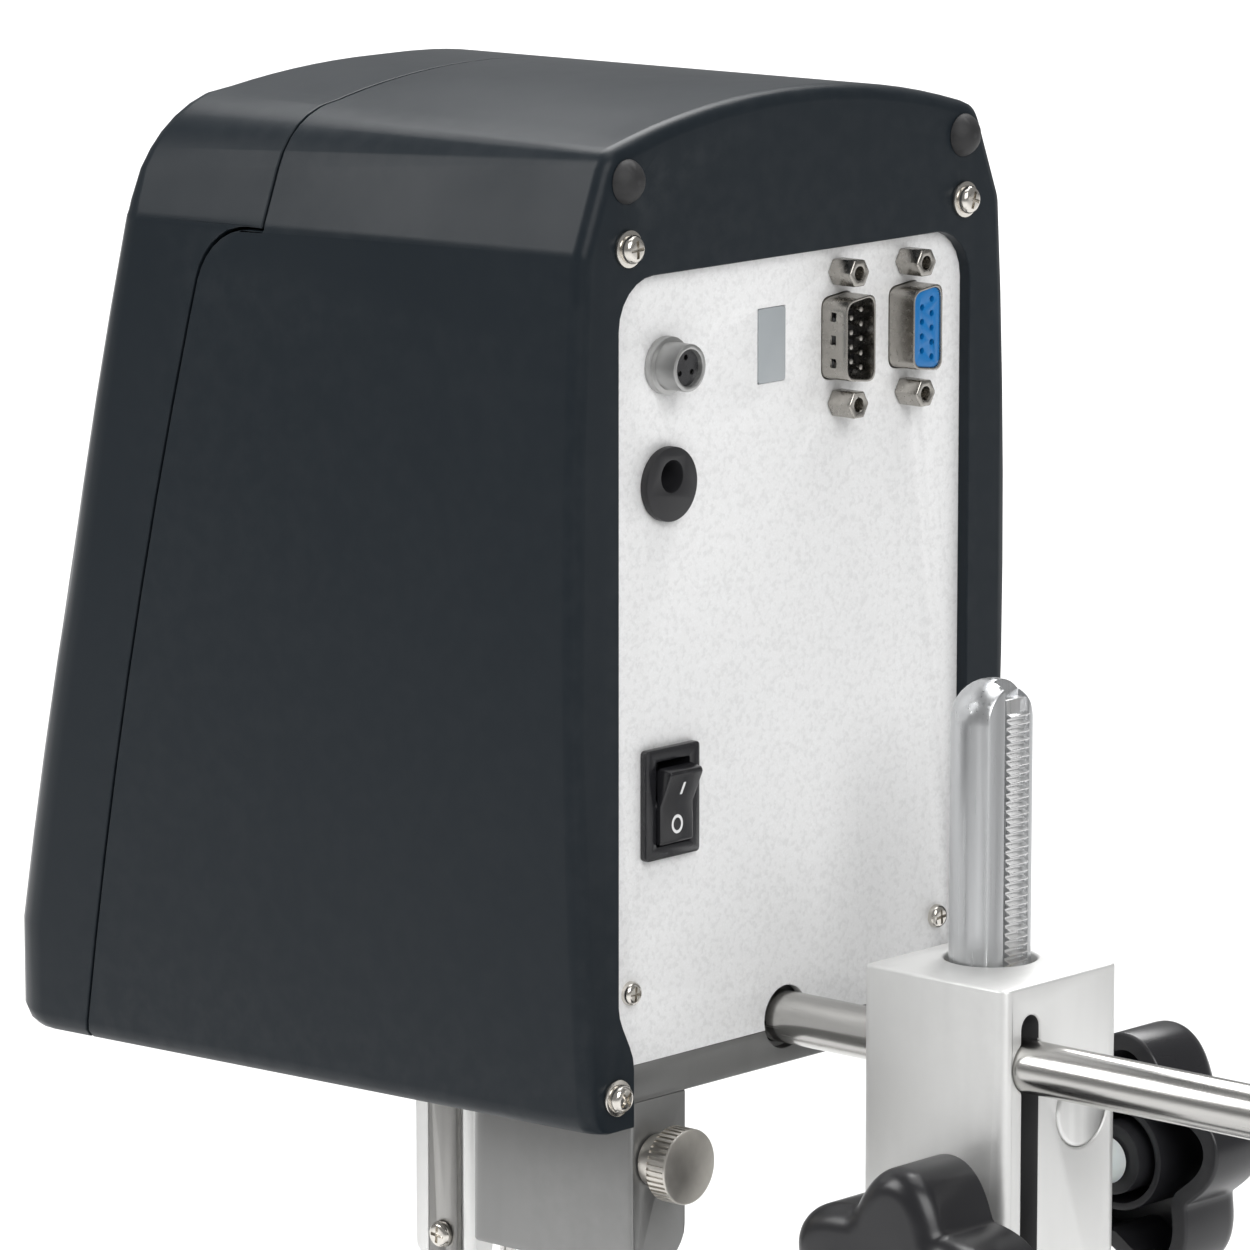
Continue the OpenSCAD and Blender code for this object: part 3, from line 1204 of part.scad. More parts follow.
module foot_lock_nuts() {
    color("silver") foot_places() translate([0, 0, base_z - nut_h]) difference() {
        hexagon(13, nut_h);
        translate([0, 0, -cut]) cylinder(r = foot_stud_r + running_gap, h = nut_h + 2 * cut);
    }
}
module level_housing() {
    color("gold") translate([level_at[0], level_at[1], base_z + base_t - level_depth]) difference() {
        union() {
            cylinder(r = level_r, h = level_depth + 0.5);
            translate([0, 0, level_depth]) cylinder(r = level_r + 1.5, h = 1.5);
        }
        translate([0, 0, 1]) cylinder(r = level_r - 2, h = 10);
    }
}
module level_vial() {
    color("palegreen") translate([level_at[0], level_at[1], base_z + base_t - level_depth + 1])
        rotate_extrude() polygon(concat([[0, 0], [level_r - 2, 0]],
            arc_points([0, -10], norm([level_r - 2, 15.2]), atan2(15.2, level_r - 2), 90, 6)));
}

base_casting();
column();
column_nut();
rack_strip();
level_housing();
level_vial();
foot_front_left();
foot_front_right();
foot_rear();
foot_lock_nuts();
carriage_block();
column_bushes();
pinion_bush();
bore_plug();
pinion_shaft();
lift_knob();
clamp_screw();
clamp_knob();
support_rod();
front_cover();
rear_cover();
rear_panel();
chassis_plate();
motor_frame();
rod_holder();
drive_motor();
main_board();
display_window();
lcd_module();
display_board();
key_up();
key_down();
key_set();
key_run();
key_stop();
bearing_housing();
shaft_bearings();
guard_mount();
spindle_guard();
guard_screws();
probe_clamp();
probe_thumbscrew();
switch_bezel();
switch_rocker();
temp_socket();
dc_jack();
print_port_shell();
print_port_insert();
pc_port_shell();
pc_port_insert();
jackscrews();
sensor_window();
cover_screws();
panel_screws();
cover_plugs();
drive_rotor();
torsion_spring();
encoder_disc();
spindle_shaft();
spindle();
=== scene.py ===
import json
import math

import bmesh
import bpy
from bpy.props import FloatProperty, FloatVectorProperty, IntProperty, PointerProperty
from mathutils import Matrix, Vector


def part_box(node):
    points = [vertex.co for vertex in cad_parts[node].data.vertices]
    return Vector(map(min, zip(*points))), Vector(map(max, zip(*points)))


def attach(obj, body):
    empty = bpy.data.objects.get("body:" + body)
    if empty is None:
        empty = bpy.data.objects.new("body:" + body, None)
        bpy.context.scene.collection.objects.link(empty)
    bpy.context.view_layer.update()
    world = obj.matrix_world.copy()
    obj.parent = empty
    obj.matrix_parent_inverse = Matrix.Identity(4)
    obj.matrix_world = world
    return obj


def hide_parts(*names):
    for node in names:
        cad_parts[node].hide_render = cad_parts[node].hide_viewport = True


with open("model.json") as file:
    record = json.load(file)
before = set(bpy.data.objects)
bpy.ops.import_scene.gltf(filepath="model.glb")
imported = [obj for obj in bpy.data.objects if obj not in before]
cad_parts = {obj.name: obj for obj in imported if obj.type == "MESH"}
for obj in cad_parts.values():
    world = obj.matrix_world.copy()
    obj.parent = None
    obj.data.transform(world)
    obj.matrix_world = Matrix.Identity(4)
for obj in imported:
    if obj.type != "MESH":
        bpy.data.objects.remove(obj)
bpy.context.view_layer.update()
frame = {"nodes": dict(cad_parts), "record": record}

bl_info = {
    "name": "Rotational viscometer",
    "version": (1, 0, 0),
    "blender": (4, 5, 0),
    "location": "View3D > Sidebar > Viscometer",
    "description": "Dresses the viscometer's CAD frame with finished pieces, materials and a studio",
    "category": "Object",
}

RECORD = frame["record"]
BODY_OF = {node: body for body, nodes in RECORD["behaviour"]["bodies"].items() for node in nodes}
SLOT_OF = {part["node"]: part["material_slot"] for part in RECORD["subparts"]}
MM = 0.001

# Ports: the contacts' pitch, the rows' distance from the middle, and the slots in the shell's side
CONTACT_PITCH = 2.76 * MM
CONTACT_ROW = 1.42 * MM
PIN_RADIUS = 0.54 * MM
PIN_LENGTH = 3.7 * MM
PIN_PROUD = 0.02 * MM
SLOT_PITCH = 4.4 * MM
SLOT_SIZE = (1.2 * MM, 1.3 * MM, 1.7 * MM)
SLOT_FROM_MIDDLE = 4.2 * MM
SLOT_FROM_RIM = 3.3 * MM

# Temperature socket: how deep its insert lies, and the circle of its holes
SOCKET_INSERT_DEPTH = 1.2 * MM
SOCKET_HOLE_CIRCLE = 1.9 * MM

# Screws: distance from the housing's middle and height of each pair, and the seats of the heads
COVER_SCREW_PAIRS = ((47.9 * MM, 430.0 * MM), (51.0 * MM, 271.7 * MM))
WASHER_THICKNESS = 0.8 * MM
PANEL_SCREW_SEAT_Y = 27.4 * MM
GUARD_SCREW_HEAD = 1.65 * MM

# Thumb screw
THUMB_HEAD_LENGTH = 4.5 * MM
THUMB_COLLAR_LENGTH = 4.3 * MM

# Knobs: what stays of the face behind the hollow and behind the ring's bore
KNOB_FACE = 4.0 * MM
RING_FACE = 5.5 * MM
RING_RADIUS = 10.5 * MM
HUB_RADIUS = 7.0 * MM

# Feet: the band of the rim that is grooved
FOOT_BAND = (3.8 * MM, 9.2 * MM)
FOOT_RIM_RADIUS = 13.0 * MM

# Carriage: half the width of the clamping slit
HALF_SLIT = 2.8 * MM

# Camera of the photo
CAMERA_LENS = 221.76
CAMERA_TARGET = (0.062, 0.03, 0.3605)

# Range of the brushed lines' tone
TONE_LOW, TONE_HIGH = 0.93, 1.05


# Settings

class HousingSettings(bpy.types.PropertyGroup):
    slate: FloatVectorProperty(name="Slate", description="Colour of the housing moulding",
                               subtype="COLOR", size=3, min=0, max=1, default=(0.0115, 0.016, 0.0205))
    roughness: FloatProperty(name="Roughness", description="Roughness of the moulding", min=0, max=1,
                             default=0.33)
    grain: FloatProperty(name="Grain", description="Depth of the moulding's fine grain", min=0, max=1,
                         default=0.14)
    edge: FloatProperty(name="Edge", description="Width of the broken edges", unit="LENGTH", min=0,
                        max=0.002, default=0.0003)


class PanelSettings(bpy.types.PropertyGroup):
    silver: FloatVectorProperty(name="Silver", description="Colour of the rear panel", subtype="COLOR",
                                size=3, min=0, max=1, default=(0.82, 0.82, 0.82))
    sparkle: FloatProperty(name="Sparkle", description="Strength of the fine sparkle", min=0, max=1,
                           default=0.3)


class MetalSettings(bpy.types.PropertyGroup):
    aluminium: FloatVectorProperty(name="Aluminium", description="Colour of the satin aluminium",
                                   subtype="COLOR", size=3, min=0, max=1, default=(0.72, 0.72, 0.71))
    steel: FloatVectorProperty(name="Steel", description="Colour of the brushed steel", subtype="COLOR",
                               size=3, min=0, max=1, default=(0.62, 0.61, 0.59))
    nickel: FloatVectorProperty(name="Nickel", description="Colour of the nickel plating",
                                subtype="COLOR", size=3, min=0, max=1, default=(0.7, 0.67, 0.62))
    edge: FloatProperty(name="Edge", description="Width of the broken metal edges", unit="LENGTH", min=0,
                        max=0.002, default=0.00035)


class FastenerSettings(bpy.types.PropertyGroup):
    grooves: IntProperty(name="Grooves", description="Grooves round the thumb screw", min=12, max=80,
                         default=40)
    groove_depth: FloatProperty(name="Groove depth", description="Depth of the thumb screw's grooves",
                                unit="LENGTH", min=0, max=0.001, default=0.00035)
    recess: FloatProperty(name="Recess", description="Share of a screw head that its cross recess spans",
                          min=0.3, max=0.9, default=0.62)


class KnobSettings(bpy.types.PropertyGroup):
    radius: FloatProperty(name="Radius", description="Radius of a knob at its lobes", unit="LENGTH",
                          min=0.015, max=0.03, default=0.0244)
    hollow: FloatProperty(name="Hollow", description="Depth of the hollows between the lobes",
                          unit="LENGTH", min=0, max=0.01, default=0.0064)
    lobes: IntProperty(name="Lobes", description="Lobes round a knob", min=3, max=8, default=5)
    thickness: FloatProperty(name="Thickness", description="Thickness of a knob", unit="LENGTH",
                             min=0.008, max=0.03, default=0.018)
    rounding: FloatProperty(name="Rounding", description="Rounding round the face", unit="LENGTH",
                            min=0.001, max=0.008, default=0.005)
    wall: FloatProperty(name="Wall", description="Thickness of the wall round the hollow side",
                        unit="LENGTH", min=0.001, max=0.005, default=0.0026)


class StageSettings(bpy.types.PropertyGroup):
    floor: FloatVectorProperty(name="Floor", description="Colour of the floor", subtype="COLOR",
                               size=3, min=0, max=1, default=(0.78, 0.78, 0.78))
    world: FloatProperty(name="World light", description="Strength of the surrounding light",
                         min=0, max=5, default=0.28)
    key_light: FloatProperty(name="Key light", description="Power of the large soft light", unit="POWER",
                             min=0, max=500, default=22)
    backdrop: FloatProperty(name="Backdrop light", description="Power of the light on the floor behind",
                            unit="POWER", min=0, max=2000, default=620)
    camera_azimuth: FloatProperty(name="Azimuth", description="Direction of the camera round the part",
                                  subtype="ANGLE", default=math.radians(132.1))
    camera_elevation: FloatProperty(name="Elevation", description="Height angle of the camera",
                                    subtype="ANGLE", default=math.radians(10.5))
    camera_distance: FloatProperty(name="Distance", description="Distance from the camera to its target",
                                   unit="LENGTH", min=0.2, default=1.413)


GROUPS = (("viscometer_housing", HousingSettings), ("viscometer_panel", PanelSettings),
          ("viscometer_metal", MetalSettings), ("viscometer_fasteners", FastenerSettings),
          ("viscometer_knobs", KnobSettings), ("viscometer_stage", StageSettings))


def settings(name):
    return getattr(bpy.context.scene, "viscometer_" + name)


# Shader groups

def new_group(name, inputs, outputs):
    tree = bpy.data.node_groups.new(name, "ShaderNodeTree")
    for label, kind, value in inputs:
        socket = tree.interface.new_socket(label, in_out="INPUT", socket_type=kind)
        socket.default_value = value
    for label, kind in outputs:
        tree.interface.new_socket(label, in_out="OUTPUT", socket_type=kind)
    return tree, tree.nodes.new("NodeGroupInput"), tree.nodes.new("NodeGroupOutput")


def add(tree, kind, **values):
    node = tree.nodes.new(kind)
    for key, value in values.items():
        setattr(node, key, value)
    return node


def noise(tree, vector, scale, detail=4.0, roughness=0.55):
    node = add(tree, "ShaderNodeTexNoise")
    node.inputs["Detail"].default_value = detail
    node.inputs["Roughness"].default_value = roughness
    if isinstance(scale, (int, float)):
        node.inputs["Scale"].default_value = scale
    else:
        tree.links.new(scale, node.inputs["Scale"])
    tree.links.new(vector, node.inputs["Vector"])
    return node.outputs["Fac"]


def remap(tree, value, low, high, to_low, to_high):
    node = add(tree, "ShaderNodeMapRange", clamp=True)
    for label, number in (("From Min", low), ("From Max", high), ("To Min", to_low), ("To Max", to_high)):
        node.inputs[label].default_value = number
    tree.links.new(value, node.inputs["Value"])
    return node.outputs["Result"]


def multiply(tree, a, b):
    node = add(tree, "ShaderNodeMath", operation="MULTIPLY")
    for socket, value in zip(node.inputs, (a, b)):
        if isinstance(value, (int, float)):
            socket.default_value = value
        else:
            tree.links.new(value, socket)
    return node.outputs[0]


def moulded_grain():
    """Fine moulding grain: a height, and a slow change of gloss over the surface."""
    if "Moulded grain" in bpy.data.node_groups:
        return bpy.data.node_groups["Moulded grain"]
    tree, start, end = new_group("Moulded grain", (("Scale", "NodeSocketFloat", 2600.0),),
                                 (("Height", "NodeSocketFloat"), ("Gloss", "NodeSocketFloat")))
    place = add(tree, "ShaderNodeTexCoord").outputs["Object"]
    tree.links.new(noise(tree, place, start.outputs["Scale"], 3.0), end.inputs["Height"])
    tree.links.new(remap(tree, noise(tree, place, 28.0, 3.0), 0.3, 0.7, -0.04, 0.05), end.inputs["Gloss"])
    return tree


def brushed_lines():
    """Fine lines drawn out along one axis: a height and a brightness."""
    if "Brushed lines" in bpy.data.node_groups:
        return bpy.data.node_groups["Brushed lines"]
    tree, start, end = new_group("Brushed lines", (("Stretch", "NodeSocketVector", (1.0, 1.0, 0.02)),
                                                   ("Scale", "NodeSocketFloat", 2200.0)),
                                 (("Height", "NodeSocketFloat"), ("Tone", "NodeSocketFloat"),
                                  ("Gloss", "NodeSocketFloat")))
    place = add(tree, "ShaderNodeTexCoord").outputs["Object"]
    stretch = add(tree, "ShaderNodeVectorMath", operation="MULTIPLY")
    tree.links.new(place, stretch.inputs[0])
    tree.links.new(start.outputs["Stretch"], stretch.inputs[1])
    lines = noise(tree, stretch.outputs[0], start.outputs["Scale"], 2.0)
    broad = noise(tree, stretch.outputs[0], 400.0, 2.0)
    tree.links.new(lines, end.inputs["Height"])
    tree.links.new(remap(tree, broad, 0.25, 0.75, TONE_LOW, TONE_HIGH), end.inputs["Tone"])
    tree.links.new(remap(tree, lines, 0.25, 0.75, -0.05, 0.07), end.inputs["Gloss"])
    return tree


def edge_wear():
    """Mask of handled edges, broken up by a noise."""
    if "Edge wear" in bpy.data.node_groups:
        return bpy.data.node_groups["Edge wear"]
    tree, start, end = new_group("Edge wear", (("Amount", "NodeSocketFloat", 0.3),),
                                 (("Mask", "NodeSocketFloat"),))
    edges = remap(tree, add(tree, "ShaderNodeNewGeometry").outputs["Pointiness"], 0.52, 0.6, 0.0, 1.0)
    place = add(tree, "ShaderNodeTexCoord").outputs["Object"]
    patches = remap(tree, noise(tree, place, 260.0), 0.4, 0.65, 0.2, 1.0)
    worn = multiply(tree, edges, patches)
    tree.links.new(multiply(tree, worn, start.outputs["Amount"]), end.inputs["Mask"])
    return tree


def sparkle_flakes():
    """Fine metallic flakes in a lacquer: a mask of bright points and a broader mottle."""
    if "Sparkle flakes" in bpy.data.node_groups:
        return bpy.data.node_groups["Sparkle flakes"]
    tree, start, end = new_group("Sparkle flakes", (("Scale", "NodeSocketFloat", 1900.0),),
                                 (("Flakes", "NodeSocketFloat"), ("Mottle", "NodeSocketFloat")))
    place = add(tree, "ShaderNodeTexCoord").outputs["Object"]
    cells = add(tree, "ShaderNodeTexVoronoi", feature="F1")
    tree.links.new(place, cells.inputs["Vector"])
    tree.links.new(start.outputs["Scale"], cells.inputs["Scale"])
    split = add(tree, "ShaderNodeSeparateColor")
    tree.links.new(cells.outputs["Color"], split.inputs[0])
    tree.links.new(remap(tree, split.outputs[0], 0.0, 1.0, 0.0, 1.0), end.inputs["Flakes"])
    tree.links.new(noise(tree, place, 900.0, 3.0), end.inputs["Mottle"])
    return tree


# Materials

class Finish:
    """A material under construction: a Principled shader with groups feeding it."""

    def __init__(self, name, color, roughness, metallic=0.0, **sockets):
        self.material = bpy.data.materials.new(name)
        self.material.use_nodes = True
        self.tree = self.material.node_tree
        self.shader = self.tree.nodes["Principled BSDF"]
        self.color = (*color[:3], 1.0)
        self.roughness = roughness
        self.shader.inputs["Base Color"].default_value = self.color
        self.shader.inputs["Roughness"].default_value = roughness
        self.shader.inputs["Metallic"].default_value = metallic
        for label, value in sockets.items():
            self.shader.inputs[label.replace("_", " ")].default_value = value
        self.source = None

    def group(self, tree, **values):
        node = self.tree.nodes.new("ShaderNodeGroup")
        node.node_tree = tree
        for label, value in values.items():
            node.inputs[label].default_value = value
        return node.outputs

    def tint(self, mask, color):
        """Mixes the colour so far towards another one by a mask."""
        mix = add(self.tree, "ShaderNodeMix", data_type="RGBA")
        self.tree.links.new(mask, mix.inputs[0])
        if self.source is None:
            mix.inputs[6].default_value = self.color
        else:
            self.tree.links.new(self.source, mix.inputs[6])
        mix.inputs[7].default_value = (*color[:3], 1.0)
        self.source = mix.outputs[2]
        self.tree.links.new(self.source, self.shader.inputs["Base Color"])

    def gloss(self, change):
        total = add(self.tree, "ShaderNodeMath", operation="ADD", use_clamp=True)
        total.inputs[0].default_value = self.roughness
        self.tree.links.new(change, total.inputs[1])
        self.tree.links.new(total.outputs[0], self.shader.inputs["Roughness"])

    def bump(self, height, strength, distance):
        node = add(self.tree, "ShaderNodeBump")
        node.inputs["Strength"].default_value = strength
        node.inputs["Distance"].default_value = distance
        self.tree.links.new(height, node.inputs["Height"])
        self.tree.links.new(node.outputs["Normal"], self.shader.inputs["Normal"])


def scaled(color, factor):
    return tuple(min(1.0, c * factor) for c in color[:3])


def moulding(name, color, roughness, grain=0.12, scale=2600.0, wear=0.25, **sockets):
    """A moulded plastic, rubber or lacquer with a fine grain and paler edges."""
    finish = Finish(name, color, roughness, **sockets)
    texture = finish.group(moulded_grain(), Scale=scale)
    finish.bump(texture["Height"], grain, 0.00006)
    finish.gloss(texture["Gloss"])
    finish.tint(finish.group(edge_wear(), Amount=wear)["Mask"], [c + 0.06 for c in color[:3]])
    return finish.material


def brushed(name, color, roughness, stretch, strength=0.12, scale=2200.0):
    """A metal brushed or drawn along one axis, brighter along its edges."""
    finish = Finish(name, color, roughness, 1.0)
    lines = finish.group(brushed_lines(), Stretch=stretch, Scale=scale)
    finish.bump(lines["Height"], strength, 0.00004)
    finish.gloss(lines["Gloss"])
    finish.tint(remap(finish.tree, lines["Tone"], TONE_LOW, TONE_HIGH, 1.0, 0.0), scaled(color, 0.86))
    finish.tint(finish.group(edge_wear(), Amount=0.3)["Mask"], scaled(color, 1.2))
    return finish.material


def blasted(name, color, roughness, metallic, grain=0.2):
    """A metal with a fine even blasting, a few soft scuffs and brighter edges."""
    finish = Finish(name, color, roughness, metallic)
    texture = finish.group(moulded_grain(), Scale=1500.0)
    finish.bump(texture["Height"], grain, 0.00005)
    finish.gloss(texture["Gloss"])
    scuffs = finish.group(brushed_lines(), Stretch=(0.35, 0.35, 0.06), Scale=700.0)
    finish.tint(remap(finish.tree, scuffs["Tone"], TONE_LOW, 1.0, 0.35, 0.0), scaled(color, 0.86))
    finish.tint(finish.group(edge_wear(), Amount=0.35)["Mask"], scaled(color, 1.2))
    return finish.material


def lacquered_silver(name, color, sparkle):
    """Pale silver lacquer with a fine sparkle."""
    finish = Finish(name, color, 0.38, 0.1)
    texture = finish.group(sparkle_flakes(), Scale=3200.0)
    finish.tint(remap(finish.tree, texture["Flakes"], 0.55, 1.0, 0.0, sparkle), (0.95, 0.96, 0.97))
    finish.tint(remap(finish.tree, texture["Mottle"], 0.48, 0.66, 0.0, 1.6 * sparkle), scaled(color, 0.8))
    finish.bump(texture["Mottle"], 0.08, 0.00005)
    return finish.material


def clear_sheet(name, color, roughness):
    finish = Finish(name, color, roughness, Transmission_Weight=1.0, IOR=1.49)
    texture = finish.group(moulded_grain(), Scale=300.0)
    finish.bump(texture["Height"], 0.02, 0.00002)
    return finish.material


ALONG_X, ALONG_Y, ALONG_Z = (0.02, 1.0, 1.0), (1.0, 0.02, 1.0), (1.0, 1.0, 0.02)
EVENLY = (1.0, 1.0, 1.0)


def make_materials():
    housing, panel, metal = settings("housing"), settings("panel"), settings("metal")
    black = (0.012, 0.012, 0.014)
    return {
        "housing_slate": moulding("Slate moulding", housing.slate, housing.roughness, housing.grain,
                                  wear=0.3, Specular_IOR_Level=0.13),
        "base_paint": moulding("Slate paint", housing.slate, 0.42, 0.3, 1500.0, Specular_IOR_Level=0.3),
        "panel_silver": lacquered_silver("Sparkling silver", panel.silver, panel.sparkle),
        "satin_aluminium": brushed("Satin aluminium", metal.aluminium, 0.34, ALONG_Z, 0.1),
        "blasted": blasted("Blasted aluminium", scaled(metal.aluminium, 1.08), 0.48, 0.62),
        # Painted shade: a near-black grey on the bare slit walls stands in for the shade inside the
        # carriage's clamping slit
        "painted_slit_shade": blasted("Painted slit shade", (0.07, 0.07, 0.072), 0.6, 0.3),
        "grey_casting": blasted("Grey casting", scaled(metal.aluminium, 0.34), 0.42, 0.8),
        "satin_nickel": brushed("Satin nickel", scaled(metal.nickel, 0.85), 0.36, EVENLY, 0.08, 1400.0),
        "port_tin": brushed("Tinned port shell", scaled(metal.nickel, 0.55), 0.24, EVENLY, 0.03, 900.0),
        "guard_steel": brushed("Satin guard steel", scaled(metal.steel, 0.6), 0.34, ALONG_Z, 0.1),
        "stainless": brushed("Drawn stainless", metal.steel, 0.24, ALONG_Z, 0.1),
        "column_steel": brushed("Satin column steel", (0.68, 0.69, 0.7), 0.3, ALONG_Z, 0.1),
        "rack_steel": brushed("Cut rack steel", (0.86, 0.86, 0.86), 0.3, ALONG_Z, 0.06),
        "socket_alloy": blasted("Socket alloy", scaled(metal.aluminium, 0.6), 0.36, 0.9, 0.08),
        "nickel": brushed("Nickel plate", metal.nickel, 0.18, EVENLY, 0.05, 900.0),
        "brass": brushed("Turned brass", (0.6, 0.42, 0.16), 0.28, ALONG_X, 0.1),
        "spring_bronze": brushed("Spring bronze", (0.5, 0.3, 0.14), 0.3, ALONG_Z, 0.1),
        "knob_plastic": moulding("Black knob moulding", black, 0.3, 0.1, 1800.0, 0.2),
        "foot_plastic": moulding("Black foot moulding", black, 0.5, 0.3, 1500.0, 0.2),
        "black_plastic": moulding("Semi-gloss black", black, 0.24, 0.06, 2000.0, 0.25),
        "plug_rubber": moulding("Black rubber", (0.014, 0.014, 0.015), 0.6, 0.35, 1700.0, 0.1),
        "nylon": moulding("White nylon", (0.8, 0.8, 0.77), 0.35, 0.08, 1500.0, 0.1,
                          Subsurface_Weight=0.15),
        "port_blue": moulding("Blue insert", (0.002, 0.15, 0.42), 0.3, 0.06, 2000.0, 0.2),
        "board_green": moulding("Solder resist", (0.01, 0.12, 0.04), 0.3, 0.3, 700.0, 0.1),
        "lcd_green": moulding("Display glass", (0.12, 0.17, 0.06), 0.15, 0.02, 900.0, 0.0),
        "window_clear": clear_sheet("Clear window", (0.93, 0.96, 0.97), 0.03),
        "window_grey": moulding("Smoked window", (0.35, 0.375, 0.39), 0.2, 0.03, 900.0, 0.15),
        "level_glass": clear_sheet("Level glass", (0.62, 0.9, 0.45), 0.02),
        "key_grey": moulding("Grey key", (0.09, 0.095, 0.105), 0.42, 0.15, 1800.0, 0.2),
        "key_green": moulding("Green key", (0.02, 0.16, 0.06), 0.42, 0.15, 1800.0, 0.2),
        "key_red": moulding("Red key", (0.3, 0.015, 0.012), 0.42, 0.15, 1800.0, 0.2),
        "rod": brushed("Rod steel", scaled(metal.steel, 0.85), 0.21, ALONG_Y, 0.1),
        "marks": moulding("White marks", (0.8, 0.8, 0.8), 0.4, 0.05, 1500.0, 0.0),
    }


MATERIALS = {}


# Modelling helpers

def clear_selection():
    if bpy.context.object is not None and bpy.context.object.mode != "OBJECT":
        bpy.ops.object.mode_set(mode="OBJECT")
    bpy.ops.object.select_all(action="DESELECT")


def pick(piece):
    clear_selection()
    piece.select_set(True)
    bpy.context.view_layer.objects.active = piece


def edit(piece):
    pick(piece)
    bpy.ops.object.mode_set(mode="EDIT")


def select_faces(piece, test):
    """In edit mode, selects the faces whose middle and normal pass the test."""
    mesh = bmesh.from_edit_mesh(piece.data)
    bpy.ops.mesh.select_mode(type="FACE")
    for face in mesh.faces:
        face.select_set(bool(test(face.calc_center_median(), face.normal)))
    mesh.select_flush_mode()
    bmesh.update_edit_mesh(piece.data)


def apply_modifier(piece, kind, **values):
    pick(piece)
    modifier = piece.modifiers.new(kind.title(), kind)
    for key, value in values.items():
        setattr(modifier, key, value)
    bpy.ops.object.modifier_apply(modifier=modifier.name)


def break_edges(piece, width, angle=35.0, segments=2):
    apply_modifier(piece, "BEVEL", width=width, segments=segments, limit_method="ANGLE",
                   angle_limit=math.radians(angle), use_clamp_overlap=False, miter_outer="MITER_ARC")


def smooth(piece, angle=32.0):
    pick(piece)
    bpy.ops.object.shade_smooth_by_angle(angle=math.radians(angle))


def settle(piece):
    """Puts the piece's place into its mesh and turns its faces outwards."""
    pick(piece)
    bpy.ops.object.transform_apply(location=True, rotation=True, scale=True)
    bpy.ops.object.mode_set(mode="EDIT")
    bpy.ops.mesh.select_all(action="SELECT")
    bpy.ops.mesh.normals_make_consistent(inside=False)
    bpy.ops.object.mode_set(mode="OBJECT")


def join(pieces, name):
    clear_selection()
    for piece in pieces:
        piece.select_set(True)
    bpy.context.view_layer.objects.active = pieces[0]
    bpy.ops.object.join()
    pieces[0].name = name
    return pieces[0]


def copy_of(piece, matrix):
    twin = piece.copy()
    twin.data = piece.data.copy()
    bpy.context.scene.collection.objects.link(twin)
    twin.data.transform(matrix)
    return twin


def finish_piece(piece, name, node, material=None):
    """Names the piece, gives it its material and ties it to the CAD node that it stands for."""
    piece.name = name
    piece.data.name = name
    piece.data.materials.clear()
    piece.data.materials.append(MATERIALS[material or SLOT_OF[node]])
    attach(piece, BODY_OF[node])
    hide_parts(node)
    return piece


def dress(piece, material, node):
    """Gives a detail its material and the body of the CAD node that it belongs to."""
    piece.data.name = piece.name
    piece.data.materials.clear()
    piece.data.materials.append(MATERIALS[material])
    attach(piece, BODY_OF[node])


def from_node(node):
    """A merged copy of a CAD node's mesh, with its flat faces made whole."""
    source = frame["nodes"][node]
    piece = bpy.data.objects.new(node + "_copy", source.data.copy())
    bpy.context.scene.collection.objects.link(piece)
    edit(piece)
    bpy.ops.mesh.select_all(action="SELECT")
    bpy.ops.mesh.remove_doubles(threshold=0.000004)
    bpy.ops.mesh.dissolve_limited(angle_limit=math.radians(0.6))
    bpy.ops.object.mode_set(mode="OBJECT")
    return piece


def refined(node, name, edge=None, angle=35.0, shade=32.0, material=None, segments=2):
    """The CAD node with its edges broken and its curves shaded smooth."""
    piece = from_node(node)
    if edge:
        break_edges(piece, edge, angle, segments)
    smooth(piece, shade)
    return finish_piece(piece, name, node, material)


def middle(node):
    low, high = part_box(node)
    return (Vector(low) + Vector(high)) / 2


def cylinder(radius, depth, location, axis="Z", vertices=48):
    turn = {"X": (0, math.pi / 2, 0), "Y": (-math.pi / 2, 0, 0), "Z": (0, 0, 0)}[axis]
    clear_selection()
    bpy.ops.mesh.primitive_cylinder_add(vertices=vertices, radius=radius, depth=depth,
                                        location=location, rotation=turn)
    return bpy.context.object


def block(size, location, turn=(0, 0, 0)):
    clear_selection()
    bpy.ops.mesh.primitive_cube_add(size=1, location=location, rotation=turn, scale=size)
    return bpy.context.object


def cut_with(piece, cutter):
    modifier = piece.modifiers.new("Cut", "BOOLEAN")
    modifier.object = cutter
    modifier.operation = "DIFFERENCE"
    modifier.solver = "EXACT"
    pick(piece)
    bpy.ops.object.modifier_apply(modifier=modifier.name)
    bpy.data.objects.remove(cutter, do_unlink=True)


def cross_head(radius, height, recess):
    """A domed screw head with a cross recess, seated at the origin and facing +Z."""
    head = cylinder(radius, height, (0, 0, height / 2), vertices=40)
    settle(head)
    edit(head)
    select_faces(head, lambda place, normal: normal.z > 0.9)
    bpy.ops.mesh.bevel(offset=height * 0.72, segments=5, affect="EDGES")
    bpy.ops.object.mode_set(mode="OBJECT")
    for quarter in (0, 1):
        arm = block((2 * radius * recess, radius * 0.26, height), (0, 0, height * 1.02),
                    (0, 0, math.radians(45 + 90 * quarter)))
        settle(arm)
        cut_with(head, arm)
    smooth(head, 30)
    return head


# Operators, one for each group of pieces

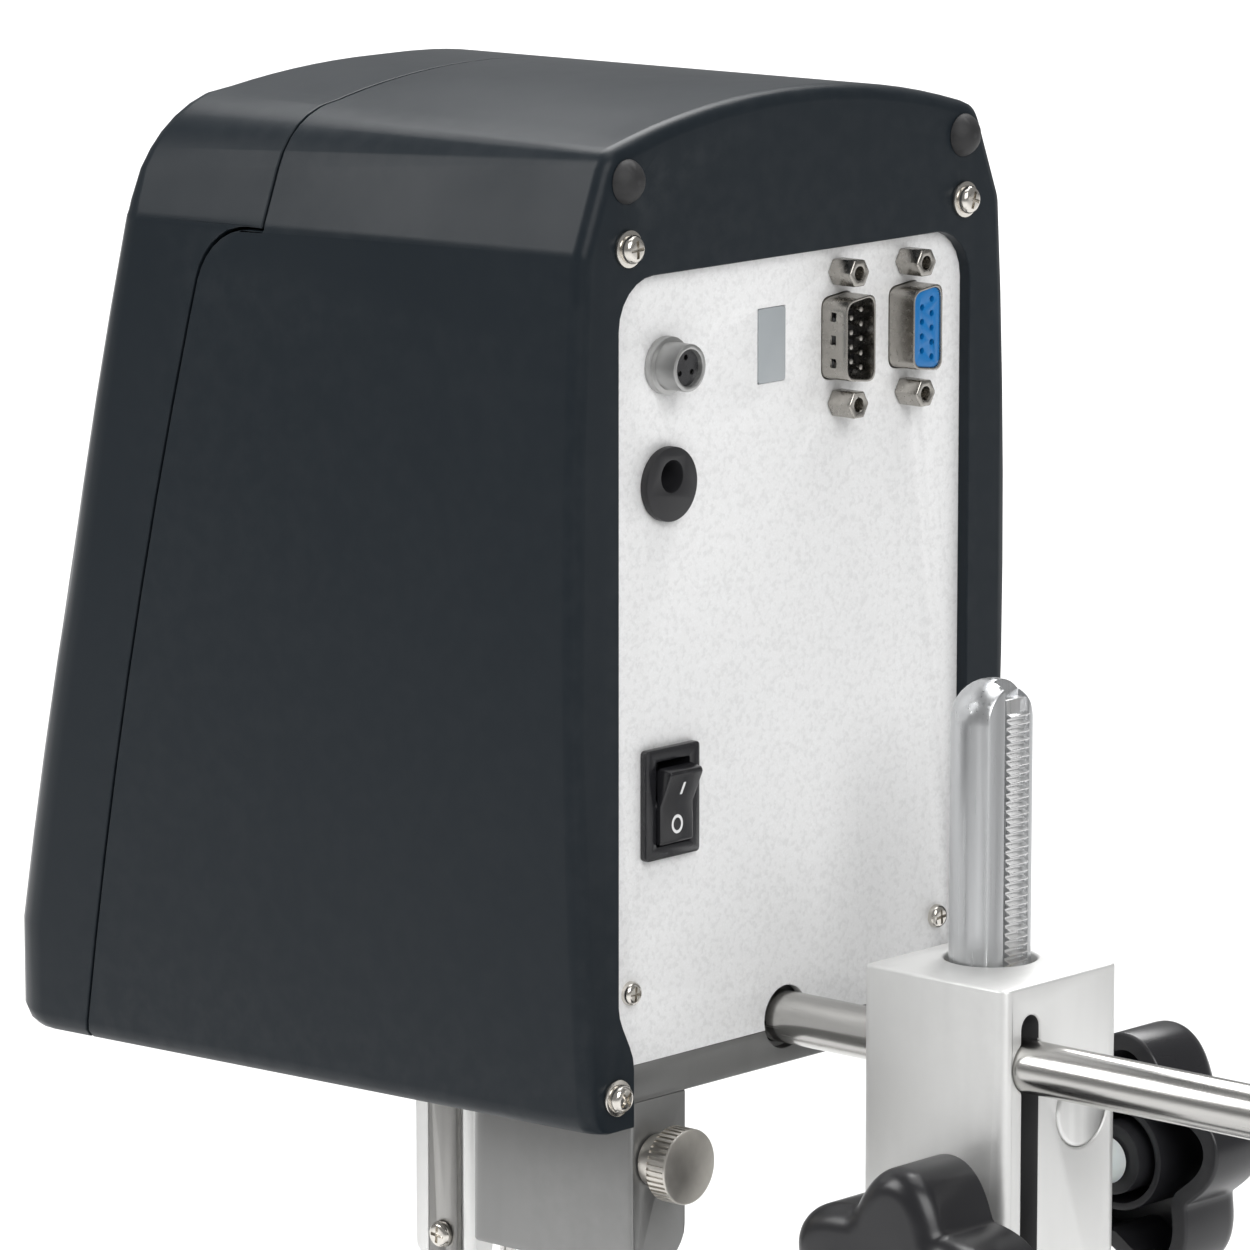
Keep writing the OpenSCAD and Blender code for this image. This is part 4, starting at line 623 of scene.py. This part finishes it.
class VISCOMETER_OT_materials(bpy.types.Operator):
    """Make the finishes of every piece"""
    bl_idname = "viscometer.materials"
    bl_label = "Finishes"

    def execute(self, context):
        MATERIALS.clear()
        MATERIALS.update(make_materials())
        for node, piece in frame["nodes"].items():
            if not piece.material_slots:
                piece.data.materials.append(MATERIALS[SLOT_OF[node]])
            for place in piece.material_slots:
                place.material = MATERIALS[SLOT_OF[node]]
        return {"FINISHED"}


class VISCOMETER_OT_housing(bpy.types.Operator):
    """Make the two covers of the housing with smooth walls and broken edges"""
    bl_idname = "viscometer.housing"
    bl_label = "Housing"

    def execute(self, context):
        edge = settings("housing").edge
        for node, name in (("front_cover", "housing_front"), ("rear_cover", "housing_rear")):
            cover = refined(node, name, edge, angle=50.0, shade=38.0)
            apply_modifier(cover, "WEIGHTED_NORMAL", keep_sharp=True)
        return {"FINISHED"}


class VISCOMETER_OT_panel(bpy.types.Operator):
    """Make the socket panel and what stands on it"""
    bl_idname = "viscometer.panel"
    bl_label = "Socket panel"

    def execute(self, context):
        refined("rear_panel", "socket_panel", 0.00015)
        refined("sensor_window", "smoked_window", 0.0002)
        refined("dc_jack", "power_jack", 0.0003, material="foot_plastic")
        self.probe_socket()
        refined("jackscrews", "lock_posts", 0.0003, material="port_tin")
        for side in ("print", "pc"):
            self.port(side)
        return {"FINISHED"}

    def port(self, side):
        shell = from_node(side + "_port_shell")
        low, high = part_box(side + "_port_shell")
        x = (low[0] + high[0]) / 2
        z = (low[2] + high[2]) / 2
        if side == "print":
            for up in (-SLOT_PITCH, 0, SLOT_PITCH):
                slot = block(SLOT_SIZE, (x + SLOT_FROM_MIDDLE, high[1] - SLOT_FROM_RIM, z + up))
                settle(slot)
                cut_with(shell, slot)
        break_edges(shell, 0.00015)
        smooth(shell)
        finish_piece(shell, side + "_shell", side + "_port_shell", "port_tin")
        refined(side + "_port_insert", side + "_contacts", 0.00012)
        if side == "print":
            self.pins(x, z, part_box(side + "_port_insert")[1][1])

    def pins(self, x, z, tip):
        """Plated sleeves over the nine contacts of the plug, in a row of five and a row of four."""
        pieces = []
        for across, ups in ((-CONTACT_ROW, (-2, -1, 0, 1, 2)), (CONTACT_ROW, (-1.5, -0.5, 0.5, 1.5))):
            for up in ups:
                place = (x + across, tip + PIN_PROUD - PIN_LENGTH / 2, z + up * CONTACT_PITCH)
                pin = cylinder(PIN_RADIUS, PIN_LENGTH, place, "Y", 20)
                settle(pin)
                break_edges(pin, 0.00015)
                pieces.append(pin)
        pins = join(pieces, "print_pins")
        smooth(pins)
        dress(pins, "port_tin", "print_port_insert")

    def probe_socket(self):
        """The temperature socket with its black insert, which has three holes."""
        refined("temp_socket", "probe_socket", 0.0003, material="socket_alloy")
        centre = middle("temp_socket")
        centre.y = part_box("temp_socket")[1][1] - SOCKET_INSERT_DEPTH
        disc = cylinder(0.00345, 0.0003, centre, "Y", 40)
        settle(disc)
        for angle in (90, 210, 330):
            turn = math.radians(angle)
            arm = Vector((math.cos(turn), 0, math.sin(turn))) * SOCKET_HOLE_CIRCLE
            hole = cylinder(0.00055, 0.002, centre + arm, "Y", 20)
            settle(hole)
            cut_with(disc, hole)
        disc.name = "probe_socket_insert"
        smooth(disc)
        dress(disc, "black_plastic", "temp_socket")


class VISCOMETER_OT_switch(bpy.types.Operator):
    """Make the rocker switch with its two marks"""
    bl_idname = "viscometer.switch"
    bl_label = "Rocker switch"

    def execute(self, context):
        refined("switch_bezel", "switch_frame", 0.0003)
        rocker = refined("switch_rocker", "switch_paddle", 0.0004, segments=3)
        low, high = (Vector(v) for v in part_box("switch_rocker"))
        middle_x = (low.x + high.x) / 2
        bar = block((0.0006, 0.0026, 0.00012), (0, 0, 0))
        clear_selection()
        bpy.ops.mesh.primitive_torus_add(major_radius=0.0013, minor_radius=0.00026, major_segments=32,
                                         minor_segments=8)
        ring = bpy.context.object
        ring.scale = (1, 1.15, 0.3)
        for mark, share in ((bar, 0.72), (ring, 0.25)):
            settle(mark)
            start = Vector((middle_x, high.y + 0.01, low.z + share * (high.z - low.z)))
            place, normal = rocker.ray_cast(start, Vector((0, -1, 0)))[1:3]
            upright = normal.to_track_quat("Z", "Y").to_matrix().to_4x4()
            mark.data.transform(Matrix.Translation(place) @ upright)
        for mark in (bar, ring):
            settle(mark)
        marks = join([bar, ring], "switch_marks")
        smooth(marks)
        dress(marks, "marks", "switch_rocker")
        return {"FINISHED"}


class VISCOMETER_OT_fasteners(bpy.types.Operator):
    """Make the cross-head screws, their washers, the rubber plugs and the thumb screw"""
    bl_idname = "viscometer.fasteners"
    bl_label = "Fasteners"

    def execute(self, context):
        recess = settings("fasteners").recess
        low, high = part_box("cover_screws")
        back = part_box("rear_cover")[1][1]
        x_mid = (low[0] + high[0]) / 2
        corners = [(x_mid + side * x, z) for x, z in COVER_SCREW_PAIRS for side in (-1, 1)]
        head = cross_head(0.0027, 0.0019, recess)
        washer = cylinder(0.0035, WASHER_THICKNESS, (0, 0, WASHER_THICKNESS / 2), vertices=40)
        settle(washer)
        break_edges(washer, 0.0002)
        smooth(washer)
        pieces = []
        for count, (x, z) in enumerate(corners):
            face = Matrix.Translation((x, back, z)) @ Matrix.Rotation(-math.pi / 2, 4, "X")
            pieces.append(copy_of(washer, face))
            pieces.append(copy_of(head, face @ Matrix.Translation((0, 0, WASHER_THICKNESS))
                                  @ Matrix.Rotation(0.5 + 1.9 * count, 4, "Z")))
        finish_piece(join(pieces, "cover_screw_heads"), "cover_screw_heads", "cover_screws")
        self.small_heads("panel_screws", "panel_screw_heads", 0.0023, "Y", recess)
        self.small_heads("guard_screws", "guard_screw_heads", 0.0026, "X", recess)
        for spare in (head, washer):
            bpy.data.objects.remove(spare, do_unlink=True)
        refined("cover_plugs", "rubber_plugs", 0.0002)
        self.thumb_screw()
        return {"FINISHED"}

    def small_heads(self, node, name, radius, axis, recess):
        """Two heads at the ends of the CAD node's box, facing along the axis."""
        low, high = (Vector(v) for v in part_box(node))
        head = cross_head(radius, 0.0016, recess)
        mid = (low + high) / 2
        pieces = []
        for side in (-1, 1):
            if axis == "Y":
                x = high.x - radius if side > 0 else low.x + radius
                seat = Matrix.Translation((x, PANEL_SCREW_SEAT_Y, mid.z))
                face = seat @ Matrix.Rotation(-math.pi / 2, 4, "X")
            else:
                reach = (high.x - low.x) / 2 - GUARD_SCREW_HEAD
                seat = Matrix.Translation((mid.x + side * reach, mid.y, mid.z))
                face = seat @ Matrix.Rotation(side * math.pi / 2, 4, "Y")
            pieces.append(copy_of(head, face @ Matrix.Rotation(0.7 * side, 4, "Z")))
        bpy.data.objects.remove(head, do_unlink=True)
        finish_piece(join(pieces, name), name, node)

    def thumb_screw(self):
        values = settings("fasteners")
        low, high = (Vector(v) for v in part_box("probe_thumbscrew"))
        centre = (low + high) / 2
        radius = (high.x - low.x) / 2
        ribs = values.grooves
        head_y = high.y - THUMB_HEAD_LENGTH / 2
        head = cylinder(radius, THUMB_HEAD_LENGTH, (centre.x, head_y, centre.z), "Y", vertices=4 * ribs)
        settle(head)
        edit(head)
        select_faces(head, lambda place, normal: normal.y > 0.9)
        bpy.ops.mesh.bevel(offset=0.0004, segments=2, affect="EDGES")

        def in_groove(place, normal):
            if abs(normal.y) > 0.01:
                return False
            step = math.atan2(place.z - centre.z, place.x - centre.x) / (2 * math.pi) * ribs
            return step - math.floor(step) < 0.5

        select_faces(head, in_groove)
        bpy.ops.mesh.inset(thickness=0.00006, depth=-values.groove_depth, use_even_offset=True)
        bpy.ops.object.mode_set(mode="OBJECT")
        collar_y = high.y - THUMB_HEAD_LENGTH - THUMB_COLLAR_LENGTH / 2
        collar = cylinder(0.005, THUMB_COLLAR_LENGTH, (centre.x, collar_y, centre.z), "Y", vertices=64)
        settle(collar)
        break_edges(collar, 0.0004, segments=3)
        shank_length = high.y - THUMB_HEAD_LENGTH - THUMB_COLLAR_LENGTH - low.y
        shank = cylinder(0.0025, shank_length, (centre.x, low.y + shank_length / 2, centre.z), "Y")
        settle(shank)
        piece = join([head, collar, shank], "thumb_screw")
        smooth(piece, 25)
        finish_piece(piece, "thumb_screw", "probe_thumbscrew", "satin_nickel")


class VISCOMETER_OT_underside(bpy.types.Operator):
    """Make the probe clamp, the guard and its mount, and the spindle"""
    bl_idname = "viscometer.underside"
    bl_label = "Underside"

    def execute(self, context):
        edge = settings("metal").edge
        refined("chassis_plate", "chassis", 0.0003, material="grey_casting")
        refined("probe_clamp", "probe_holder", edge, material="grey_casting")
        refined("guard_mount", "guard_bracket", 0.0002, material="blasted")
        refined("spindle_guard", "guard_strip", 0.0002, material="guard_steel")
        refined("spindle", "measuring_spindle", 0.0003)
        refined("spindle_shaft", "coupling_shaft", 0.0003)
        refined("bearing_housing", "bearing_barrel", 0.0003)
        return {"FINISHED"}


class VISCOMETER_OT_stand(bpy.types.Operator):
    """Make the base, its feet, the level, the column and the rack"""
    bl_idname = "viscometer.stand"
    bl_label = "Stand"

    def execute(self, context):
        edge = settings("metal").edge
        refined("base_casting", "base", 0.0012, angle=40.0, segments=3)
        refined("column", "column_bar", 0.0002, shade=40.0, material="column_steel")
        refined("rack_strip", "rack", 0.00008, material="rack_steel")
        refined("support_rod", "support_bar", 0.0002, material="rod")
        refined("level_housing", "level_ring", 0.0003)
        refined("level_vial", "level_dome")
        refined("foot_lock_nuts", "lock_nuts", edge)
        for side in ("front_left", "front_right", "rear"):
            self.foot("foot_" + side)
        return {"FINISHED"}

    def foot(self, node):
        piece = from_node(node)
        edit(piece)
        centre = middle(node)
        select_faces(piece, lambda place, normal: abs(normal.z) < 0.2
                     and FOOT_BAND[0] < place.z < FOOT_BAND[1]
                     and (place.xy - centre.xy).length > FOOT_RIM_RADIUS)
        bpy.ops.mesh.inset(thickness=0.0003, depth=-0.0004, use_individual=True)
        bpy.ops.object.mode_set(mode="OBJECT")
        smooth(piece)
        finish_piece(piece, "levelling_" + node, node)


class VISCOMETER_OT_carriage(bpy.types.Operator):
    """Make the carriage block, its bushes and plug, and the pinion"""
    bl_idname = "viscometer.carriage"
    bl_label = "Carriage"

    def execute(self, context):
        edge = settings("metal").edge
        carriage = refined("carriage_block", "carriage", edge * 1.6, material="blasted", segments=3)
        self.shade_slit(carriage)
        refined("column_bushes", "guide_bushes", 0.0003)
        refined("bore_plug", "blank_plug", 0.0004, material="satin_aluminium")
        refined("pinion_bush", "nylon_bush", 0.0003)
        refined("pinion_shaft", "pinion", 0.0001)
        refined("clamp_screw", "clamp_stud", 0.0003)
        return {"FINISHED"}

    def shade_slit(self, carriage):
        """Paints shade on the walls of the clamping slit: a near-black material stands in for the shade
        inside it.
        """
        low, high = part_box("carriage_block")
        slit_x = middle("support_rod").x
        carriage.data.materials.append(MATERIALS["painted_slit_shade"])
        for face in carriage.data.polygons:
            inside = (abs(face.center.x - slit_x) < HALF_SLIT
                      and low[2] + MM < face.center.z < high[2] - MM)
            if inside and abs(face.normal.y) < 0.3:
                face.material_index = 1


class VISCOMETER_OT_knobs(bpy.types.Operator):
    """Make the two lobed knobs"""
    bl_idname = "viscometer.knobs"
    bl_label = "Knobs"

    def execute(self, context):
        self.grip("lift_knob", "lift_grip", "pinion_turn", -1, 5)
        self.grip("clamp_knob", "clamp_grip", "clamp_turn", 1, 175)
        return {"FINISHED"}

    def grip(self, node, name, joint, side, turn):
        """A lobed cylinder, rounded at its face and hollow behind, with a ring and a hub inside."""
        values = settings("knobs")
        place = next(j["pos_m"] for j in RECORD["behaviour"]["joints"] if j["name"] == joint)
        low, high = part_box(node)
        face = high[0] if side > 0 else low[0]
        hub_end = low[0] if side > 0 else high[0]
        thickness, radius = values.thickness, values.radius
        body = cylinder(radius, thickness, (0, 0, thickness / 2), vertices=180)
        settle(body)
        for vertex in body.data.vertices:
            angle = math.atan2(vertex.co.y, vertex.co.x)
            lobe = (0.5 + 0.5 * math.cos(values.lobes * (angle - math.radians(turn)))) ** 0.65
            grown = (radius - values.hollow * (1 - lobe)) / radius
            vertex.co.x *= grown
            vertex.co.y *= grown
        edit(body)
        select_faces(body, lambda place, normal: normal.z > 0.9)
        bpy.ops.mesh.bevel(offset=values.rounding, segments=9, affect="EDGES")
        select_faces(body, lambda place, normal: normal.z < -0.9)
        bpy.ops.mesh.bevel(offset=0.0007, segments=3, affect="EDGES")
        select_faces(body, lambda place, normal: normal.z < -0.9999)
        bpy.ops.mesh.inset(thickness=values.wall, depth=0)
        bpy.ops.mesh.inset(thickness=0.0002, depth=KNOB_FACE - thickness)
        bpy.ops.object.mode_set(mode="OBJECT")
        reach = abs(face - hub_end) - 0.0004
        ring_length = thickness - KNOB_FACE
        ring = cylinder(RING_RADIUS, ring_length, (0, 0, ring_length / 2), vertices=64)
        settle(ring)
        edit(ring)
        select_faces(ring, lambda place, normal: normal.z < -0.9)
        bpy.ops.mesh.inset(thickness=0.0015, depth=0)
        bpy.ops.mesh.inset(thickness=0.0001, depth=RING_FACE - thickness)
        bpy.ops.object.mode_set(mode="OBJECT")
        hub_length = reach - KNOB_FACE
        hub_middle = thickness - KNOB_FACE - hub_length / 2
        hub = cylinder(HUB_RADIUS, hub_length, (0, 0, hub_middle), vertices=64)
        for part in (ring, hub):
            settle(part)
            break_edges(part, 0.0003)
        grip = join([body, ring, hub], name)
        turned = Matrix.Rotation(side * math.pi / 2, 4, "Y")
        grip.data.transform(Matrix.Translation((face - side * thickness, place[1], place[2])) @ turned)
        settle(grip)
        smooth(grip, 40)
        finish_piece(grip, name, node)


class VISCOMETER_OT_front(bpy.types.Operator):
    """Make the display window and the keys"""
    bl_idname = "viscometer.front"
    bl_label = "Front"

    def execute(self, context):
        refined("display_window", "display_lens", 0.0002)
        refined("lcd_module", "display_unit", 0.0003)
        for key in ("up", "down", "set", "run", "stop"):
            refined("key_" + key, key + "_key_cap", 0.0005, segments=3)
        return {"FINISHED"}


class VISCOMETER_OT_stage(bpy.types.Operator):
    """Make the floor, the lights and the camera"""
    bl_idname = "viscometer.stage"
    bl_label = "Studio"

    def execute(self, context):
        values = settings("stage")
        clear_selection()
        bpy.ops.mesh.primitive_plane_add(size=40, location=(0, 0, 0))
        floor = bpy.context.object
        floor.name = "studio_floor"
        finish = Finish("Floor", values.floor, 0.6)
        floor.data.materials.append(finish.material)
        world = bpy.data.worlds.new("Studio")
        world.use_nodes = True
        world.node_tree.nodes["Background"].inputs[0].default_value = (1, 1, 1, 1)
        world.node_tree.nodes["Background"].inputs[1].default_value = values.world
        context.scene.world = world
        self.light("key", (0.7, 1.6, 1.4), (0, 0, 0.33), 1.2, values.key_light)
        self.light("side", (1.05, -0.85, 1.25), (0, 0, 0.5), 0.8, values.key_light * 0.6)
        self.light("top", (-0.2, 0.2, 1.9), (0, 0, 0.33), 1.0, values.key_light * 0.3)
        self.light("backdrop", (-3.2, -2.9, 5.5), (-3.2, -2.9, 0), 5.0, values.backdrop)
        self.camera(values)
        context.scene.view_settings.view_transform = "Standard"
        return {"FINISHED"}

    def light(self, name, place, aim, size, power):
        data = bpy.data.lights.new(name, "AREA")
        data.shape = "RECTANGLE"
        data.size = size
        data.size_y = size
        data.energy = power
        lamp = bpy.data.objects.new(name, data)
        lamp.location = place
        lamp.rotation_mode = "QUATERNION"
        lamp.rotation_quaternion = (Vector(aim) - Vector(place)).to_track_quat("-Z", "Y")
        bpy.context.scene.collection.objects.link(lamp)

    def camera(self, values):
        azimuth, elevation = values.camera_azimuth, values.camera_elevation
        back = Vector((math.sin(azimuth) * math.cos(elevation), -math.cos(azimuth) * math.cos(elevation),
                       math.sin(elevation)))
        data = bpy.data.cameras.new("camera")
        data.sensor_width = 36
        data.lens = CAMERA_LENS
        data.clip_start = 0.05
        data.clip_end = 100
        camera = bpy.data.objects.new("camera", data)
        camera.location = Vector(CAMERA_TARGET) + back * values.camera_distance
        camera.rotation_mode = "QUATERNION"
        camera.rotation_quaternion = (-back).to_track_quat("-Z", "Y")
        bpy.context.scene.collection.objects.link(camera)
        bpy.context.scene.camera = camera


OPERATORS = (VISCOMETER_OT_materials, VISCOMETER_OT_housing, VISCOMETER_OT_panel,
             VISCOMETER_OT_switch, VISCOMETER_OT_fasteners, VISCOMETER_OT_underside,
             VISCOMETER_OT_stand, VISCOMETER_OT_carriage, VISCOMETER_OT_knobs,
             VISCOMETER_OT_front, VISCOMETER_OT_stage)


class VISCOMETER_PT_panel(bpy.types.Panel):
    """The sizes and colours of the viscometer, and a button for each group of pieces"""
    bl_idname = "VISCOMETER_PT_panel"
    bl_label = "Viscometer"
    bl_space_type = "VIEW_3D"
    bl_region_type = "UI"
    bl_category = "Viscometer"

    def draw(self, context):
        for name, group in GROUPS:
            box = self.layout.box()
            for field in group.__annotations__:
                box.prop(getattr(context.scene, name), field)
        for operator in OPERATORS:
            self.layout.operator(operator.bl_idname)


CLASSES = tuple(group for name, group in GROUPS) + OPERATORS + (VISCOMETER_PT_panel,)


def register():
    for item in CLASSES:
        bpy.utils.register_class(item)
    for name, group in GROUPS:
        setattr(bpy.types.Scene, name, PointerProperty(type=group))


def unregister():
    for name, group in GROUPS:
        delattr(bpy.types.Scene, name)
    for item in reversed(CLASSES):
        bpy.utils.unregister_class(item)


def main():
    register()
    for operator in OPERATORS:
        family, name = operator.bl_idname.split(".")
        getattr(getattr(bpy.ops, family), name)()


if __name__ == "__main__":
    main()
